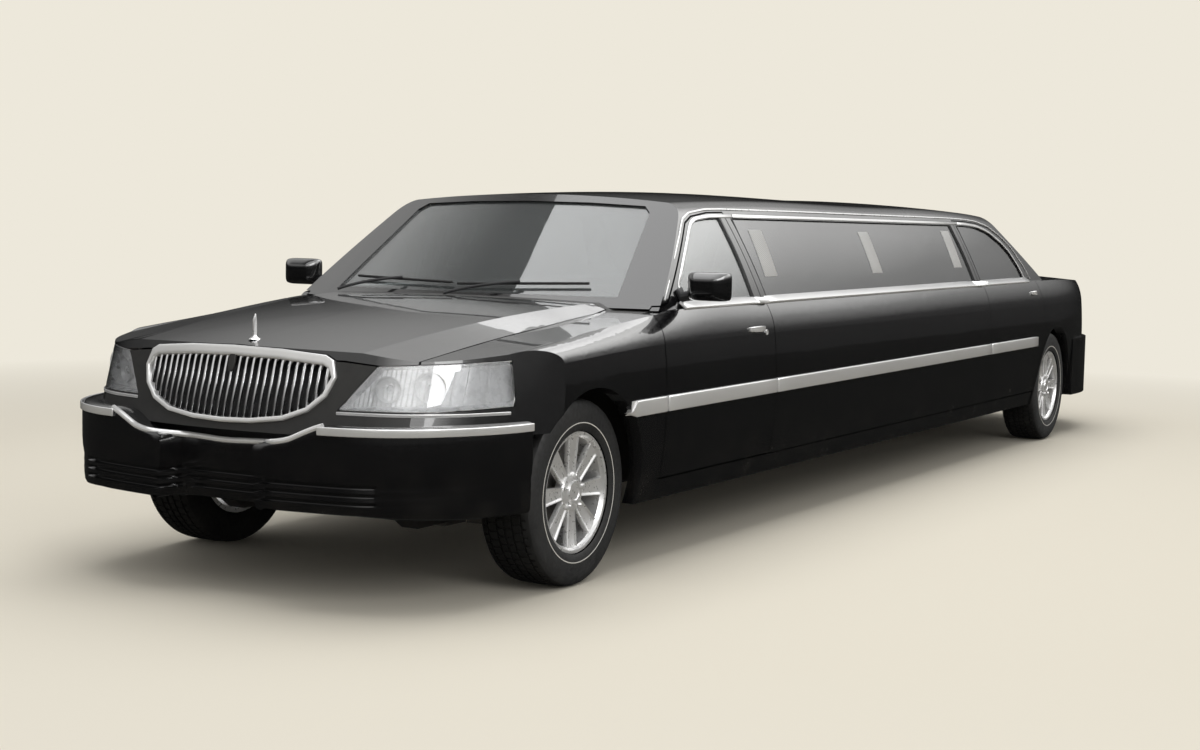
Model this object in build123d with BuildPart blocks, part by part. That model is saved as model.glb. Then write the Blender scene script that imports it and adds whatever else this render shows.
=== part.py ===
# Long-wheelbase limousine, a stretched four-door saloon.
# Frame: +X is the car's left, -Y the front, +Z up. Origin on the ground under mid-length.
import math
import os

from build123d import *

os.makedirs("parts", exist_ok=True)

# ---- driving dimensions (mm) ----
LENGTH = 8520.0
WIDTH = 1990.0
HEIGHT = 1500.0
FRONT_AXLE_Y = -3250.0
WHEELBASE = 6038.0
REAR_AXLE_Y = FRONT_AXLE_Y + WHEELBASE
FRONT_TRACK = 1610.0
REAR_TRACK = 1666.0
TYRE_R = 350.0
TYRE_W = 225.0
RIM_R = 226.0
HUB_Z = TYRE_R
ARCH_R = 392.0
SIDE_T = 60.0
TOP_T = 25.0
CUT = 3.0
STEP = 18.0
SEAT_GAP = 0.3
SKIN_T = 15.0
BELT_F = 1010.0
BELT_R = 1034.0
DOOR_HINGE_X = 984.0
FLOOR_Z = 330.0


def fy(y):
    """Distance behind the front axle to the shared Y."""
    return FRONT_AXLE_Y + y


RA = WHEELBASE


# ---- small helpers ----
def vec(x, y, z):
    return Vector(x, y, z)


def box(x0, x1, y0, y1, z0, z1):
    return Solid.make_box(x1 - x0, y1 - y0, z1 - z0, Plane(origin=(x0, y0, z0)))


def tilted_box(centre, size, turn):
    """Box about its own centre, turned by turn degrees about X."""
    a, b, c = size
    return Pos(*centre) * Rot(turn, 0, 0) * Solid.make_box(a, b, c, Plane(origin=(-a / 2, -b / 2, -c / 2)))


def prism_x(pts, x0, x1):
    """Polygon in (distance behind front axle, z), swept along X."""
    wire = Wire.make_polygon([vec(x0, fy(a), b) for a, b in pts], close=True)
    return Solid.extrude(Face(wire), vec(x1 - x0, 0, 0))


def prism_y(pts, y0, y1):
    """Polygon in (x, z), swept along Y between distances behind the front axle."""
    wire = Wire.make_polygon([vec(a, fy(y0), b) for a, b in pts], close=True)
    return Solid.extrude(Face(wire), vec(0, y1 - y0, 0))


def prism_z(pts, z0, z1):
    wire = Wire.make_polygon([vec(a, fy(b), z0) for a, b in pts], close=True)
    return Solid.extrude(Face(wire), vec(0, 0, z1 - z0))


def cyl_x(x0, x1, y, z, r):
    return Solid.make_cylinder(r, x1 - x0, Plane(origin=(x0, y, z), z_dir=(1, 0, 0)))


def cyl_z(x, y, z0, z1, r):
    return Solid.make_cylinder(r, z1 - z0, Plane(origin=(x, y, z0)))


def cyl_y(x, z, y0, y1, r):
    return Solid.make_cylinder(r, y1 - y0, Plane(origin=(x, y0, z), z_dir=(0, 1, 0)))


def both(shape):
    """A left piece and its mirror as two solids."""
    left = shape.solids()
    return left + [s.mirror(Plane.YZ) for s in left]


def flip(shape):
    return [s.mirror(Plane.YZ) for s in shape.solids()]


def whole(half):
    """Left half and its mirror fused across the mid-plane."""
    return half + half.mirror(Plane.YZ)


def end_tangent(p, q, t):
    """Direction at q of the arc that leaves p along t."""
    c = (q - p).normalized()
    return (c * (2 * c.dot(t)) - t).normalized()


# ---- lower body: outer and inner lofts ----
# y, sill x, widest x/z, shoulder x/z, fender top x/z, shut x/z, crease x/z, centre z
BODY = (
    (-1150, 880, 945, 600, 930, 740, 850, 800, 695, 812, 480, 838, 852),
    (-850, 895, 962, 610, 950, 775, 868, 828, 695, 842, 500, 872, 888),
    (-500, 915, 978, 625, 966, 820, 878, 874, 695, 886, 530, 925, 945),
    (0, 930, 985, 640, 973, 855, 892, 930, 695, 940, 580, 985, 1008),
    (520, 936, 985, 640, 972, 876, 916, 985, 700, 990, 640, 1022, 1036),
    (900, 936, 985, 640, 972, 880, 925, 1010, 800, 1016, 640, 1024, 1032),
    (1300, 936, 985, 640, 972, 881, 925, 1012, 800, 1018, 640, 1026, 1034),
    (4300, 936, 985, 645, 972, 886, 925, 1030, 800, 1036, 640, 1044, 1052),
    (4700, 936, 985, 646, 972, 887, 925, 1032, 800, 1038, 640, 1046, 1054),
    (5500, 936, 985, 648, 972, 889, 924, 1038, 796, 1044, 640, 1052, 1062),
    (6150, 930, 980, 650, 966, 890, 912, 1040, 770, 1048, 640, 1058, 1068),
    (6700, 890, 942, 650, 928, 888, 868, 1032, 730, 1042, 600, 1052, 1062),
    (7200, 780, 850, 648, 835, 880, 775, 1016, 650, 1026, 520, 1036, 1046),
    (7650, 620, 690, 640, 675, 868, 615, 992, 520, 1002, 400, 1010, 1018),
)
SILL_Z = 262.0


def body_wire(row, side, top):
    y, xs, xw, zw, xh, zh, xf, zf, xv, zv, xc, zc, zt = row
    yy = fy(y)
    zb = SILL_Z if side == 0 else SILL_Z - 40
    p1 = vec(xs - side, yy, zb)
    p2 = vec(xw - side, yy, zw)
    p3 = vec(xh - side, yy, zh)
    p4 = vec(xf - side * 0.9, yy, zf - top)
    p5 = vec(xv, yy, zv - top)
    p6 = vec(xc, yy, zc - top)
    p7 = vec(0, yy, zt - top)
    t3 = end_tangent(p2, p3, vec(0, 0, 1))
    half = [
        Edge.make_line(vec(0, yy, zb), p1),
        Edge.make_tangent_arc(p2, vec(0, 0, -1), p1),
        Edge.make_tangent_arc(p2, vec(0, 0, 1), p3),
        Edge.make_tangent_arc(p3, t3, p4),
        Edge.make_line(p4, p5),
        Edge.make_line(p5, p6),
        Edge.make_tangent_arc(p7, vec(1, 0, 0), p6),
        Edge.make_line(p7, vec(0, yy, zb)),
    ]
    return Wire(half)


def body_loft(side, top):
    return Solid.make_loft([body_wire(r, side, top) for r in BODY])


def sheared(points, z0, z1, run, y_far):
    """Plan curve (x, y) arcs closed behind at y_far, swept from z0 to z1 with a lean of run per unit."""
    pts = [vec(a, fy(b), z0) for a, b in points]
    t = vec(1, 0, 0)
    edges = []
    for p, q in zip(pts, pts[1:]):
        edges.append(Edge.make_tangent_arc(p, t, q))
        t = end_tangent(p, q, t)
    last = pts[-1]
    corner = vec(last.X, fy(y_far), z0)
    if abs(corner.Y - last.Y) > 1:
        edges.append(Edge.make_line(last, corner))
    edges = edges + [e.mirror(Plane.YZ) for e in edges]
    edges.append(Edge.make_line(corner, vec(-corner.X, corner.Y, z0)))
    return Solid.extrude(Face(Wire(edges)), vec(0, (z1 - z0) * run, z1 - z0))


NOSE_PLAN = ((0, -1060), (560, -985), (840, -750), (1060, -120))
TAIL_PLAN = ((0, 7460), (520, 7395), (760, 7215), (1080, 6500))
NOSE_RUN = 0.30


def nose(offset, y_far=9000):
    return sheared([(x, y + offset) for x, y in NOSE_PLAN], 150, 1250, NOSE_RUN, y_far)


def tail(offset):
    return sheared([(x, y - offset) for x, y in TAIL_PLAN], 150, 1250, -0.05, -3000)


OUTER = body_loft(0, 0) & nose(0) & tail(0)
INNER = body_loft(SIDE_T, TOP_T) & nose(TOP_T) & tail(TOP_T)
SKIN_IN = body_loft(SKIN_T, SKIN_T - 2) & nose(SKIN_T) & tail(SKIN_T)
LOFT_REST = body_loft(SIDE_T + SEAT_GAP, TOP_T + SEAT_GAP)
LOFT_FLANGE = body_loft(SIDE_T + 10, TOP_T + 10)
LOFT_LAMP = body_loft(SIDE_T + 20, TOP_T)
SHELL = OUTER - INNER
REST = (LOFT_REST & nose(TOP_T + SEAT_GAP) & tail(TOP_T + SEAT_GAP)) - LOFT_FLANGE
SKIN = OUTER - SKIN_IN

# ---- greenhouse lofts ----
# y, x at z=940, rail x/z, corner x/z, roof z
CABIN = (
    (250, 905, 700, 1310, 610, 1368, 1398),
    (900, 925, 730, 1362, 642, 1422, 1452),
    (1500, 932, 742, 1390, 652, 1450, 1484),
    (2000, 932, 745, 1400, 655, 1461, 1498),
    (2400, 932, 745, 1401, 655, 1463, 1500),
    (4000, 932, 745, 1401, 655, 1463, 1500),
    (4500, 932, 745, 1400, 655, 1462, 1498),
    (5000, 931, 742, 1392, 652, 1453, 1488),
    (5500, 926, 730, 1370, 640, 1430, 1462),
    (6000, 912, 705, 1325, 616, 1384, 1414),
    (6700, 880, 660, 1240, 572, 1298, 1326),
)


def cabin_wire(row, t):
    y, xb, xr, zr, xk, zk, zt = row
    yy = fy(y)
    p0 = vec(xb - t, yy, 940)
    p1 = vec(xr - t, yy, zr - t * 0.2)
    p2 = vec(xk - t * 0.75, yy, zk - t * 0.8)
    p3 = vec(0, yy, zt - t)
    t0 = vec(-math.sin(math.radians(17)), 0, math.cos(math.radians(17)))
    t1 = end_tangent(p0, p1, t0)
    t2 = end_tangent(p1, p2, t1)
    half = [
        Edge.make_line(vec(0, yy, 940), p0),
        Edge.make_tangent_arc(p0, t0, p1),
        Edge.make_tangent_arc(p1, t1, p2),
        Edge.make_tangent_arc(p3, vec(1, 0, 0), p2),
        Edge.make_line(p3, vec(0, yy, 940)),
    ]
    return Wire(half)


SCREEN_RUN = 1 / math.tan(math.radians(36.5))
LIGHT_RUN = -1 / math.tan(math.radians(27))
SCREEN_PLAN = ((0, 560), (750, 640), (1000, 700))
LIGHT_PLAN = ((0, RA + 190), (720, RA + 30), (1000, RA - 110))


def cabin(t):
    solid = Solid.make_loft([cabin_wire(r, t) for r in CABIN])
    k = t / math.sin(math.radians(36.5))
    front = [(x, y + k - 95 * SCREEN_RUN) for x, y in SCREEN_PLAN]
    k = t / math.sin(math.radians(27))
    rear = [(x, y - k - 110 * LIGHT_RUN) for x, y in LIGHT_PLAN]
    solid = solid & sheared(front, 940, 1600, SCREEN_RUN, 9000)
    return solid & sheared(rear, 940, 1600, LIGHT_RUN, -3000)


CABIN_T = 45.0
CAB_OUT = cabin(0)
CAB_IN = cabin(CABIN_T)
CAB_SKIN = cabin(SKIN_T)
GLASS_OUT = cabin(9)
GLASS_IN = CAB_SKIN
CAB_SHELL = CAB_OUT - CAB_IN
CAB_PANE = GLASS_OUT - GLASS_IN
CAB_LAYER = CAB_OUT - CAB_SKIN


def belt(y):
    return BELT_F + (BELT_R - BELT_F) * (y - 900) / 3800.0


# ---- side outlines, (distance behind front axle, z) ----
FD_F, FD_R = 548.0, 1588.0
RD_F, RD_R = 4638.0, 5800.0
DOOR_Z = 345.0
WIN_Z = 1024.0


def arc_pts(cx, cz, r, a0, a1, n):
    out = []
    for i in range(n + 1):
        a = math.radians(a0 + (a1 - a0) * i / n)
        out.append((cx + r * math.cos(a), cz + r * math.sin(a)))
    return out


def front_door_outline(g):
    return [
        (FD_F + g, DOOR_Z + g), (FD_F + g, 960), (FD_F + 12 + g, 1002 - g * 0.2),
        (718 + g * 1.2, 1030 - g), (1128 + g * 0.9, 1352 - g), (1205 + g * 0.4, 1380 - g * 1.1),
        (1360, 1398 - g * 1.1), (1512 - g, 1402 - g * 1.1), (FD_R - g, 1010), (FD_R - g, DOOR_Z + g),
    ]


def rear_door_outline(g):
    rise = arc_pts(RA, HUB_Z, ARCH_R + 46 + g, 180, 128, 6)
    top = [(5745 - g, 905), (5700 - g, 1030), (5650 - g * 1.1, 1120), (5530 - g, 1245 - g * 0.6),
           (5400 - g * 0.8, 1313 - g), (5220 - g * 0.4, 1369 - g), (5000, 1394 - g * 1.1),
           (4790, 1402 - g * 1.1), (4560 + g, 1404 - g * 1.1), (RD_F + g, 1030)]
    return [(RD_F + g, DOOR_Z + g), (RA - ARCH_R - 46 - g, DOOR_Z + g)] + rise + top


FRONT_WIN = [(850, WIN_Z), (864, 1098), (1165, 1336), (1232, 1362), (1360, 1374), (1462, 1377), (1512, WIN_Z)]
REAR_WIN = [(4690, WIN_Z + 16), (5570, WIN_Z + 22), (5545, 1110), (5465, 1212), (5360, 1275), (5190, 1336),
            (5000, 1366), (4800, 1376), (4612, 1378)]
LONG_WIN = [(1648, WIN_Z + 4), (1575, 1378), (4500, 1378), (4578, WIN_Z + 16)]


def side_cut(shape, pts, x0=600, x1=1100):
    return shape & prism_x(pts, x0, x1)


def grow(pts, g):
    """Outline moved outwards by g about its own edges."""
    n = len(pts)
    area = sum(pts[i][0] * pts[(i + 1) % n][1] - pts[(i + 1) % n][0] * pts[i][1] for i in range(n))
    s = 1 if area > 0 else -1
    out = []
    for i in range(n):
        a, b, c = pts[i - 1], pts[i], pts[(i + 1) % n]
        n1 = ((b[1] - a[1]) * s, -(b[0] - a[0]) * s)
        n2 = ((c[1] - b[1]) * s, -(c[0] - b[0]) * s)
        l1, l2 = math.hypot(*n1), math.hypot(*n2)
        u1, u2 = (n1[0] / l1, n1[1] / l1), (n2[0] / l2, n2[1] / l2)
        k = 1 + u1[0] * u2[0] + u1[1] * u2[1]
        out.append((b[0] + g * (u1[0] + u2[0]) / k, b[1] + g * (u1[1] + u2[1]) / k))
    return out


BELT_IN = 862.0
SWING_GAP = 5.0
SCUTTLE_F = 718.0
SCUTTLE_IN = box(500, BELT_IN - SWING_GAP, fy(0), fy(SCUTTLE_F - SWING_GAP), 990, 1100)
DOOR_RELIEF = [box(500, BELT_IN, fy(0), fy(SCUTTLE_F), 990, 1100), box(500, BELT_IN, fy(0), fy(900), 990, 1020)]


def door_solid(outline, window):
    full = prism_x(outline(CUT), 600, 1100)
    inset = prism_x(outline(STEP), 600, 1100)
    low = box(BELT_IN, 1100, fy(0), fy(6500), 300, 1100)
    win = prism_x(window, 600, 1100)
    lower_in = (SHELL & inset & low)
    lower_out = (SKIN & full & low)
    high = box(500, 1100, fy(0), fy(6500), 1000, 1500)
    upper_out = ((CAB_LAYER & full) - win) & high
    upper_in = ((CAB_SHELL & inset) - win) & high
    top_cut = OUTER & box(400, 1100, fy(0), fy(6500), 900, 1100)
    solid = lower_out + lower_in
    upper = (upper_out + upper_in) - top_cut
    for relief in DOOR_RELIEF:
        upper = upper - relief
    return solid + upper


with BuildPart() as front_door_left:
    add(door_solid(front_door_outline, FRONT_WIN))
front_door_left.part.label = "front_door_left"
with BuildPart() as front_door_right:
    add(flip(front_door_left.part))
front_door_right.part.label = "front_door_right"
with BuildPart() as rear_door_left:
    add(door_solid(rear_door_outline, REAR_WIN))
rear_door_left.part.label = "rear_door_left"
with BuildPart() as rear_door_right:
    add(flip(rear_door_left.part))
rear_door_right.part.label = "rear_door_right"

ABOVE_DECK = box(400, 1100, fy(0), fy(6500), 1000, 1500)
with BuildPart() as front_door_glass_left:
    add((CAB_PANE & prism_x(FRONT_WIN, 600, 1100) & ABOVE_DECK) - OUTER)
with BuildPart() as front_door_glass_right:
    add(flip(front_door_glass_left.part))
with BuildPart() as rear_door_glass_left:
    add((CAB_PANE & prism_x(REAR_WIN, 600, 1100) & ABOVE_DECK) - OUTER)
with BuildPart() as rear_door_glass_right:
    add(flip(rear_door_glass_left.part))
with BuildPart() as side_glass:
    add(both((CAB_PANE & prism_x(LONG_WIN, 600, 1100) & ABOVE_DECK) - OUTER))

# ---- cabin top: roof and pillars ----
SCREEN_EDGE = 62.0
DOOR_ZONES = [prism_x(front_door_outline(-CUT), 600, 1100) - SCUTTLE_IN,
              prism_x(rear_door_outline(-CUT), 600, 1100)]
SCREEN_WIN = prism_y([(-700, 1046), (-598, 1392), (-560, 1420), (-300, 1432), (0, 1436), (300, 1432),
                      (560, 1420), (598, 1392), (700, 1046)], 300, 1400)
LIGHT_WIN = prism_y([(-650, 1092), (-560, 1352), (-520, 1380), (0, 1398), (520, 1380), (560, 1352),
                     (650, 1092)], RA - 900, RA + 300)
top_shell = (CAB_SHELL & box(-1100, 1100, fy(0), fy(6600), 1006, 1600)) - OUTER
for zone in DOOR_ZONES:
    top_shell = top_shell - zone
top_shell = top_shell - prism_x(LONG_WIN, 600, 1100) - SCREEN_WIN - LIGHT_WIN
with BuildPart() as roof:
    add(whole(top_shell))
with BuildPart() as windshield:
    add(whole((CAB_PANE & SCREEN_WIN) - OUTER))
with BuildPart() as rear_window:
    add(whole((CAB_PANE & LIGHT_WIN) - OUTER))

# ---- body sides ----
arch_f = cyl_x(600, 1100, FRONT_AXLE_Y, HUB_Z, ARCH_R)
arch_r = cyl_x(600, 1100, REAR_AXLE_Y, HUB_Z, ARCH_R)
SIDE_BAND = box(BELT_IN, 1100, fy(-1300), fy(7700), 200, 1100)
mid = SHELL & box(BELT_IN, 1100, fy(FD_R + CUT), fy(RD_F - CUT), DOOR_Z + 1, 1100)
with BuildPart() as stretch_sides:
    add(both(mid))
sill = SHELL & box(BELT_IN, 1100, fy(FD_F - CUT), fy(RA - ARCH_R - 46 - CUT), 200, DOOR_Z - CUT)
sill = sill - cyl_x(600, 1100, REAR_AXLE_Y, HUB_Z, ARCH_R + 46)
with BuildPart() as sills:
    add(both(sill))

# ---- front fenders, hood ----
LAMP_FRONT = [(452, 688), (565, 842), (905, 862), (905, 700), (760, 688)]
LAMP_ZONE = prism_y(LAMP_FRONT, -1300, -430)
GRILLE_OUT = [(-432, 800), (-412, 858), (-380, 874), (-200, 888), (0, 892), (200, 888), (380, 874), (412, 858),
              (432, 800), (408, 735), (350, 682), (260, 648), (130, 632), (0, 628), (-130, 632), (-260, 648),
              (-350, 682), (-408, 735)]
GRILLE_ZONE = prism_y(GRILLE_OUT, -1400, -700)
BUMPER_Z = 600.0
fender = SHELL & box(698, 1100, fy(-1300), fy(FD_F - CUT), 200, 1100)
fender = fender - arch_f - prism_x([(-1300, 100), (-1300, BUMPER_Z + SEAT_GAP), (-300, BUMPER_Z + SEAT_GAP),
                                    (-300, 100)], 600, 1100)
fender = fender - LAMP_ZONE
fender = fender - prism_x([(400, 1400), (400, 1012), (700, 1040), (700, 1400)], 600, 1100)
nose_panel = (SHELL & box(-698, 698, fy(-1300), fy(-560), BUMPER_Z + SEAT_GAP, 1100)) - LAMP_ZONE
nose_panel = nose_panel & prism_y([(-720, 500), (-720, 826), (-440, 850), (440, 850), (720, 826), (720, 500)],
                                  -1300, -500)
nose_panel = nose_panel - GRILLE_ZONE
with BuildPart() as front_fenders:
    add(both(fender))
HOOD_BACK = [(-692, 560), (-400, 470), (0, 440), (400, 470), (692, 560), (692, -1300), (-692, -1300)]
hood_shell = (OUTER - INNER) & prism_z(HOOD_BACK, 700, 1100)
hood_shell = hood_shell & prism_y([(-700, 1100), (-700, 832), (-446, 856), (446, 856), (700, 832), (700, 1100)],
                                  -1300, 700)
hood_shell = hood_shell - GRILLE_ZONE - LAMP_ZONE
with BuildPart() as hood:
    add(whole(hood_shell))
with BuildPart() as headlamps:
    lamp = (OUTER - (LOFT_LAMP & nose(90))) & prism_y(grow(LAMP_FRONT, -SEAT_GAP), -1300, -430 - SEAT_GAP)
    add(both(lamp))

# ---- grille ----
BARS = 27
grille_nose = (nose(-16) - nose(30)) & box(-500, 500, fy(-1300), fy(-500), 600, 950)
ring = grille_nose & (prism_y(grow(GRILLE_OUT, -SEAT_GAP), -1400, -600) - prism_y(grow(GRILLE_OUT, -34), -1400, -600))
bar_zone = (nose(-4) - nose(28)) & prism_y(grow(GRILLE_OUT, -33), -1400, -600)
with BuildPart() as grille:
    add(ring)
    for i in range(BARS):
        x = -375 + 750 * i / (BARS - 1)
        add(bar_zone & box(x - 6, x + 6, fy(-1300), fy(-500), 600, 950))

# ---- bumpers ----
BUMP_PLAN = ((0, -1008), (520, -955), (790, -790), (958, -385))
PLATE_Z = 560.0
RBUMP_PLAN = ((0, 7508), (520, 7455), (800, 7255), (968, 6560))


def bumper(plan, back, z0, z1, t, dy):
    outer = sheared(plan, z0, z1, 0.0, back)
    inner_plan = [(x - t * x / 1000.0, y + dy * t) for x, y in plan]
    return outer - sheared(inner_plan, z0 - 10, z1 + 10, 0.0, back + dy * 10)


fb = bumper(BUMP_PLAN, -330, 238, BUMPER_Z, 62, 1)
fb = fb & box(-1100, 1100, fy(-1300), fy(-335), 200, 700)
fb = fb - arch_f - arch_f.mirror(Plane.YZ)
fb = fb - prism_y([(-440, 604), (-330, 574), (-180, 562), (180, 562), (330, 574), (440, 604), (440, 700),
                   (-440, 700)], -1300, -700)
SLOTS = ((285, 350), (368, 433), (451, 516))
with BuildPart() as front_bumper:
    add(fb)
    with Locations(*[(sx * 330, fy(-960), z) for sx in (-1, 0, 1) for z in (300, 340, 380)]):
        Box(240, 200, 16, mode=Mode.SUBTRACT)
rb = bumper(RBUMP_PLAN, 6480, 262, 640, 62, -1)
rb = rb & box(-1100, 1100, fy(6475), fy(7600), 200, 700)
rb = rb - cyl_y(89, PLATE_Z, fy(7300), fy(7600), 3.0) - cyl_y(-89, PLATE_Z, fy(7300), fy(7600), 3.0)
with BuildPart() as rear_bumper:
    add(rb)

# ---- rear quarters, tail, trunk lid ----
quarter = SHELL & box(694, 1100, fy(5300), fy(7700), 200, 1100)
quarter = quarter - prism_x(rear_door_outline(-CUT), 600, 1100) - arch_r
quarter = quarter - box(600, 1100, fy(5000), fy(RA - ARCH_R - 20), 200, DOOR_Z + 1)
quarter = quarter - box(600, 1100, fy(6475) - SEAT_GAP, fy(7700), 100, 640 + SEAT_GAP)
quarter = quarter - prism_x([(5300, 700), (5300, 1100), (5640, 1100), (5720, 900)], 600, BELT_IN)
LID_X = 688.0
tail_shell = SHELL & box(-686, 686, fy(6900), fy(7700), 643, 1100)
TAIL_LAMP = [(690, 690), (690, 890), (920, 890), (920, 690)]
LAMP_R = prism_y(TAIL_LAMP, 7080, 7700)
quarter = quarter - LAMP_R
with BuildPart() as quarter_panels:
    add(both(quarter))
LID_F = RA + 250.0
lid = (OUTER - INNER)
lid = lid & box(-LID_X, LID_X, fy(LID_F), fy(7700), 702, 1200)
lid = lid & prism_x([(LID_F, 960), (LID_F, 1200), (7700, 1200), (7700, 702), (7100, 702), (7100, 960)],
                    -900, 900)
with BuildPart() as trunk_lid:
    add(whole(lid))
with BuildPart() as tail_panel:
    low = SHELL & box(0, 693.7, fy(7000), fy(7700), 640 + SEAT_GAP, 697)
    add(whole(low))
    deck = SHELL & box(0, 693.7, fy(RA - 420), fy(LID_F - 6), 960, 1100)
    add(whole(deck - CAB_OUT))
    add(both(REST & box(662, 722, fy(6100), fy(7000), 900, 1100)))
with BuildPart() as tail_lamps:
    tl = (OUTER - (LOFT_LAMP & tail(90))) & prism_y(grow(TAIL_LAMP, -SEAT_GAP), 7080 + SEAT_GAP, 7700)
    tl = tl & box(694, 1000, fy(6900), fy(7700), 600, 1000)
    add(both(tl))

door_ring = REST & box(850, 1100, fy(0), fy(6500), 300, 1100)
rings = []
for outline in (front_door_outline, rear_door_outline):
    rings.append(door_ring & (prism_x(outline(-14), 800, 1100) - prism_x(outline(42), 800, 1100)))
with BuildPart() as door_frames:
    for ring_half in rings:
        add(both(ring_half))

# ---- front structure: firewall, aprons, radiator support ----
COWL_PLAN = [(0, 446), (400, 476), (698, 566), (698, 545.3), (856, 545.3), (856, 800), (0, 800)]
cowl = (OUTER - INNER) & prism_z(COWL_PLAN, 900, 1100)
with BuildPart() as front_structure:
    add(whole(nose_panel))
    add(both(REST & box(668, 730, fy(-430), fy(545), 700, 1100)))
    add(box(-500, 500, fy(-680), fy(-650), 420, 830))
    for s in (-1, 1):
        add(box(s * 485 - 15, s * 485 + 15, fy(-650), fy(560), 420, 830))
    add(whole(box(0, 850 - SEAT_GAP, fy(560), fy(590), FLOOR_Z, 1100) & LOFT_REST))
    add(whole(cowl))

# ---- floor and frame ----
with BuildPart() as floor_pan:
    add(whole(box(0, 905, fy(590), fy(5640), FLOOR_Z - 12, FLOOR_Z) - SHELL))
    add(box(-680, 680, fy(5628), fy(5640), FLOOR_Z, 600))
    add(box(-680, 680, fy(5640), fy(7180), 588, 600))
with BuildPart() as frame_rails:
    for s in (-1, 1):
        add(box(s * 410 - 40, s * 410 + 40, fy(-880), fy(5740), 200, 318))
        add(box(s * 410 - 40, s * 410 + 40, fy(5650), fy(5740), 318, 588))
        add(box(s * 410 - 40, s * 410 + 40, fy(5740), fy(7200), 500, 588))
with BuildPart() as crossmembers:
    for y in (-700, 700, 1700, 2700, 3700, 4700):
        add(box(-370, 370, fy(y) - 40, fy(y) + 40, 215, 295))
    for y in (6400, 7100):
        add(box(-370, 370, fy(y) - 40, fy(y) + 40, 505, 575))

# ---- running gear ----


def tyre_profile(x, w, r_in, r_out):
    return [(x - w / 2 + 8, r_in), (x - w / 2, r_in + 30), (x - w / 2, r_out - 42), (x - w / 2 + 10, r_out - 12),
            (x - w / 2 + 34, r_out), (x + w / 2 - 34, r_out), (x + w / 2 - 10, r_out - 12),
            (x + w / 2, r_out - 42), (x + w / 2, r_in + 30), (x + w / 2 - 8, r_in)]


def turned(profile, y):
    """Profile of (x, radius) spun about the wheel axis at y."""
    wire = Wire.make_polygon([vec(a, 0, b) for a, b in profile], close=True)
    solid = Solid.revolve(Face(wire), 360, Axis.X)
    return Pos(0, y, HUB_Z) * solid


def rim_solid(x, y):
    """Eight twin-rib spokes, flat centre cap, barrel."""
    w = TYRE_W
    f = x + w / 2 - 14
    barrel = [(x - w / 2 + 12, RIM_R), (x - w / 2 + 12, RIM_R - 18), (f - 60, RIM_R - 22), (f - 4, RIM_R - 14),
              (f, RIM_R - 8), (f, RIM_R)]
    disc = [(f - 60, 0), (f - 60, RIM_R - 20), (f - 34, RIM_R - 20), (f - 26, 150), (f - 22, 96), (f - 6, 88),
            (f - 4, 84), (f - 4, 0)]
    out = turned(barrel, y) + turned(disc, y)
    holes = []
    for i in range(8):
        a = math.radians(22.5 + 45 * i)
        c = (f - 40, y + 165 * math.cos(a), HUB_Z + 165 * math.sin(a))
        holes.append(tilted_box(c, (90, 62, 44), 22.5 + 45 * i))
    for h in holes:
        out = out - h
    for i in range(8):
        a = math.radians(45 * i)
        for s in (-13, 13):
            cy = y + 148 * math.cos(a) - s * math.sin(a)
            cz = HUB_Z + 148 * math.sin(a) + s * math.cos(a)
            out = out + tilted_box((f - 24, cy, cz), (26, 122, 15), 45 * i)
    return out


FX = FRONT_TRACK / 2
RX = REAR_TRACK / 2
with BuildPart() as wheel_front_left:
    add(rim_solid(FX, FRONT_AXLE_Y))
with BuildPart() as wheel_front_right:
    add(flip(wheel_front_left.part))
with BuildPart() as wheel_rear_left:
    add(rim_solid(RX, REAR_AXLE_Y))
with BuildPart() as wheel_rear_right:
    add(flip(wheel_rear_left.part))
with BuildPart() as tyre_front_left:
    add(turned(tyre_profile(FX, TYRE_W, RIM_R, TYRE_R), FRONT_AXLE_Y))
with BuildPart() as tyre_front_right:
    add(flip(tyre_front_left.part))
with BuildPart() as tyre_rear_left:
    add(turned(tyre_profile(RX, TYRE_W, RIM_R, TYRE_R), REAR_AXLE_Y))
with BuildPart() as tyre_rear_right:
    add(flip(tyre_rear_left.part))

KING_X = 745.0
with BuildPart() as knuckle_left:
    add(cyl_x(715, FX + TYRE_W / 2 - 74.3, FRONT_AXLE_Y, HUB_Z, 38))
    add(cyl_x(715, 775, FRONT_AXLE_Y, HUB_Z, 80))
    add(cyl_z(KING_X, FRONT_AXLE_Y, 224.3, 470, 24))
with BuildPart() as knuckle_right:
    add(flip(knuckle_left.part))
with BuildPart() as front_suspension:
    add(box(-369.7, 369.7, fy(-70), fy(70), 180, 260))
    for s in (-1, 1):
        arm = prism_y([(450.3, 205), (450.3, 245), (700, 224), (770, 224), (770, 204), (700, 198)], -38, 38)
        add(arm if s > 0 else arm.mirror(Plane.YZ))
        add(box(min(s * 450.3, s * 540), max(s * 450.3, s * 540), fy(-45), fy(45), 200, 415))
AXLE_X = RX + TYRE_W / 2 - 74.3
with BuildPart() as rear_axle:
    add(turned([(-AXLE_X, 0), (-AXLE_X, 42), (-170, 42), (-90, 128), (90, 128), (170, 42), (AXLE_X, 42),
                (AXLE_X, 0)], REAR_AXLE_Y))
    for s in (-1, 1):
        add(cyl_z(s * 410, REAR_AXLE_Y, HUB_Z, 500, 55))

# ---- engine, exhaust ----
with BuildPart() as engine_block:
    add(box(-300, 300, fy(-520), fy(280), 340, 800))
    add(box(-130, 130, fy(280), fy(555), 340, 560))
    for s in (-1, 1):
        add(box(s * 360 - 85, s * 360 + 85, fy(-160), fy(-60), 318.3, 380))
with BuildPart() as exhaust:
    add(cyl_y(200, 182.7, fy(1000), fy(5100), 32))
    add(box(80, 320, fy(5000), fy(5600), 120, 199.7))
    add(cyl_y(410, 469.7, fy(6300), fy(7380), 30))

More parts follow.
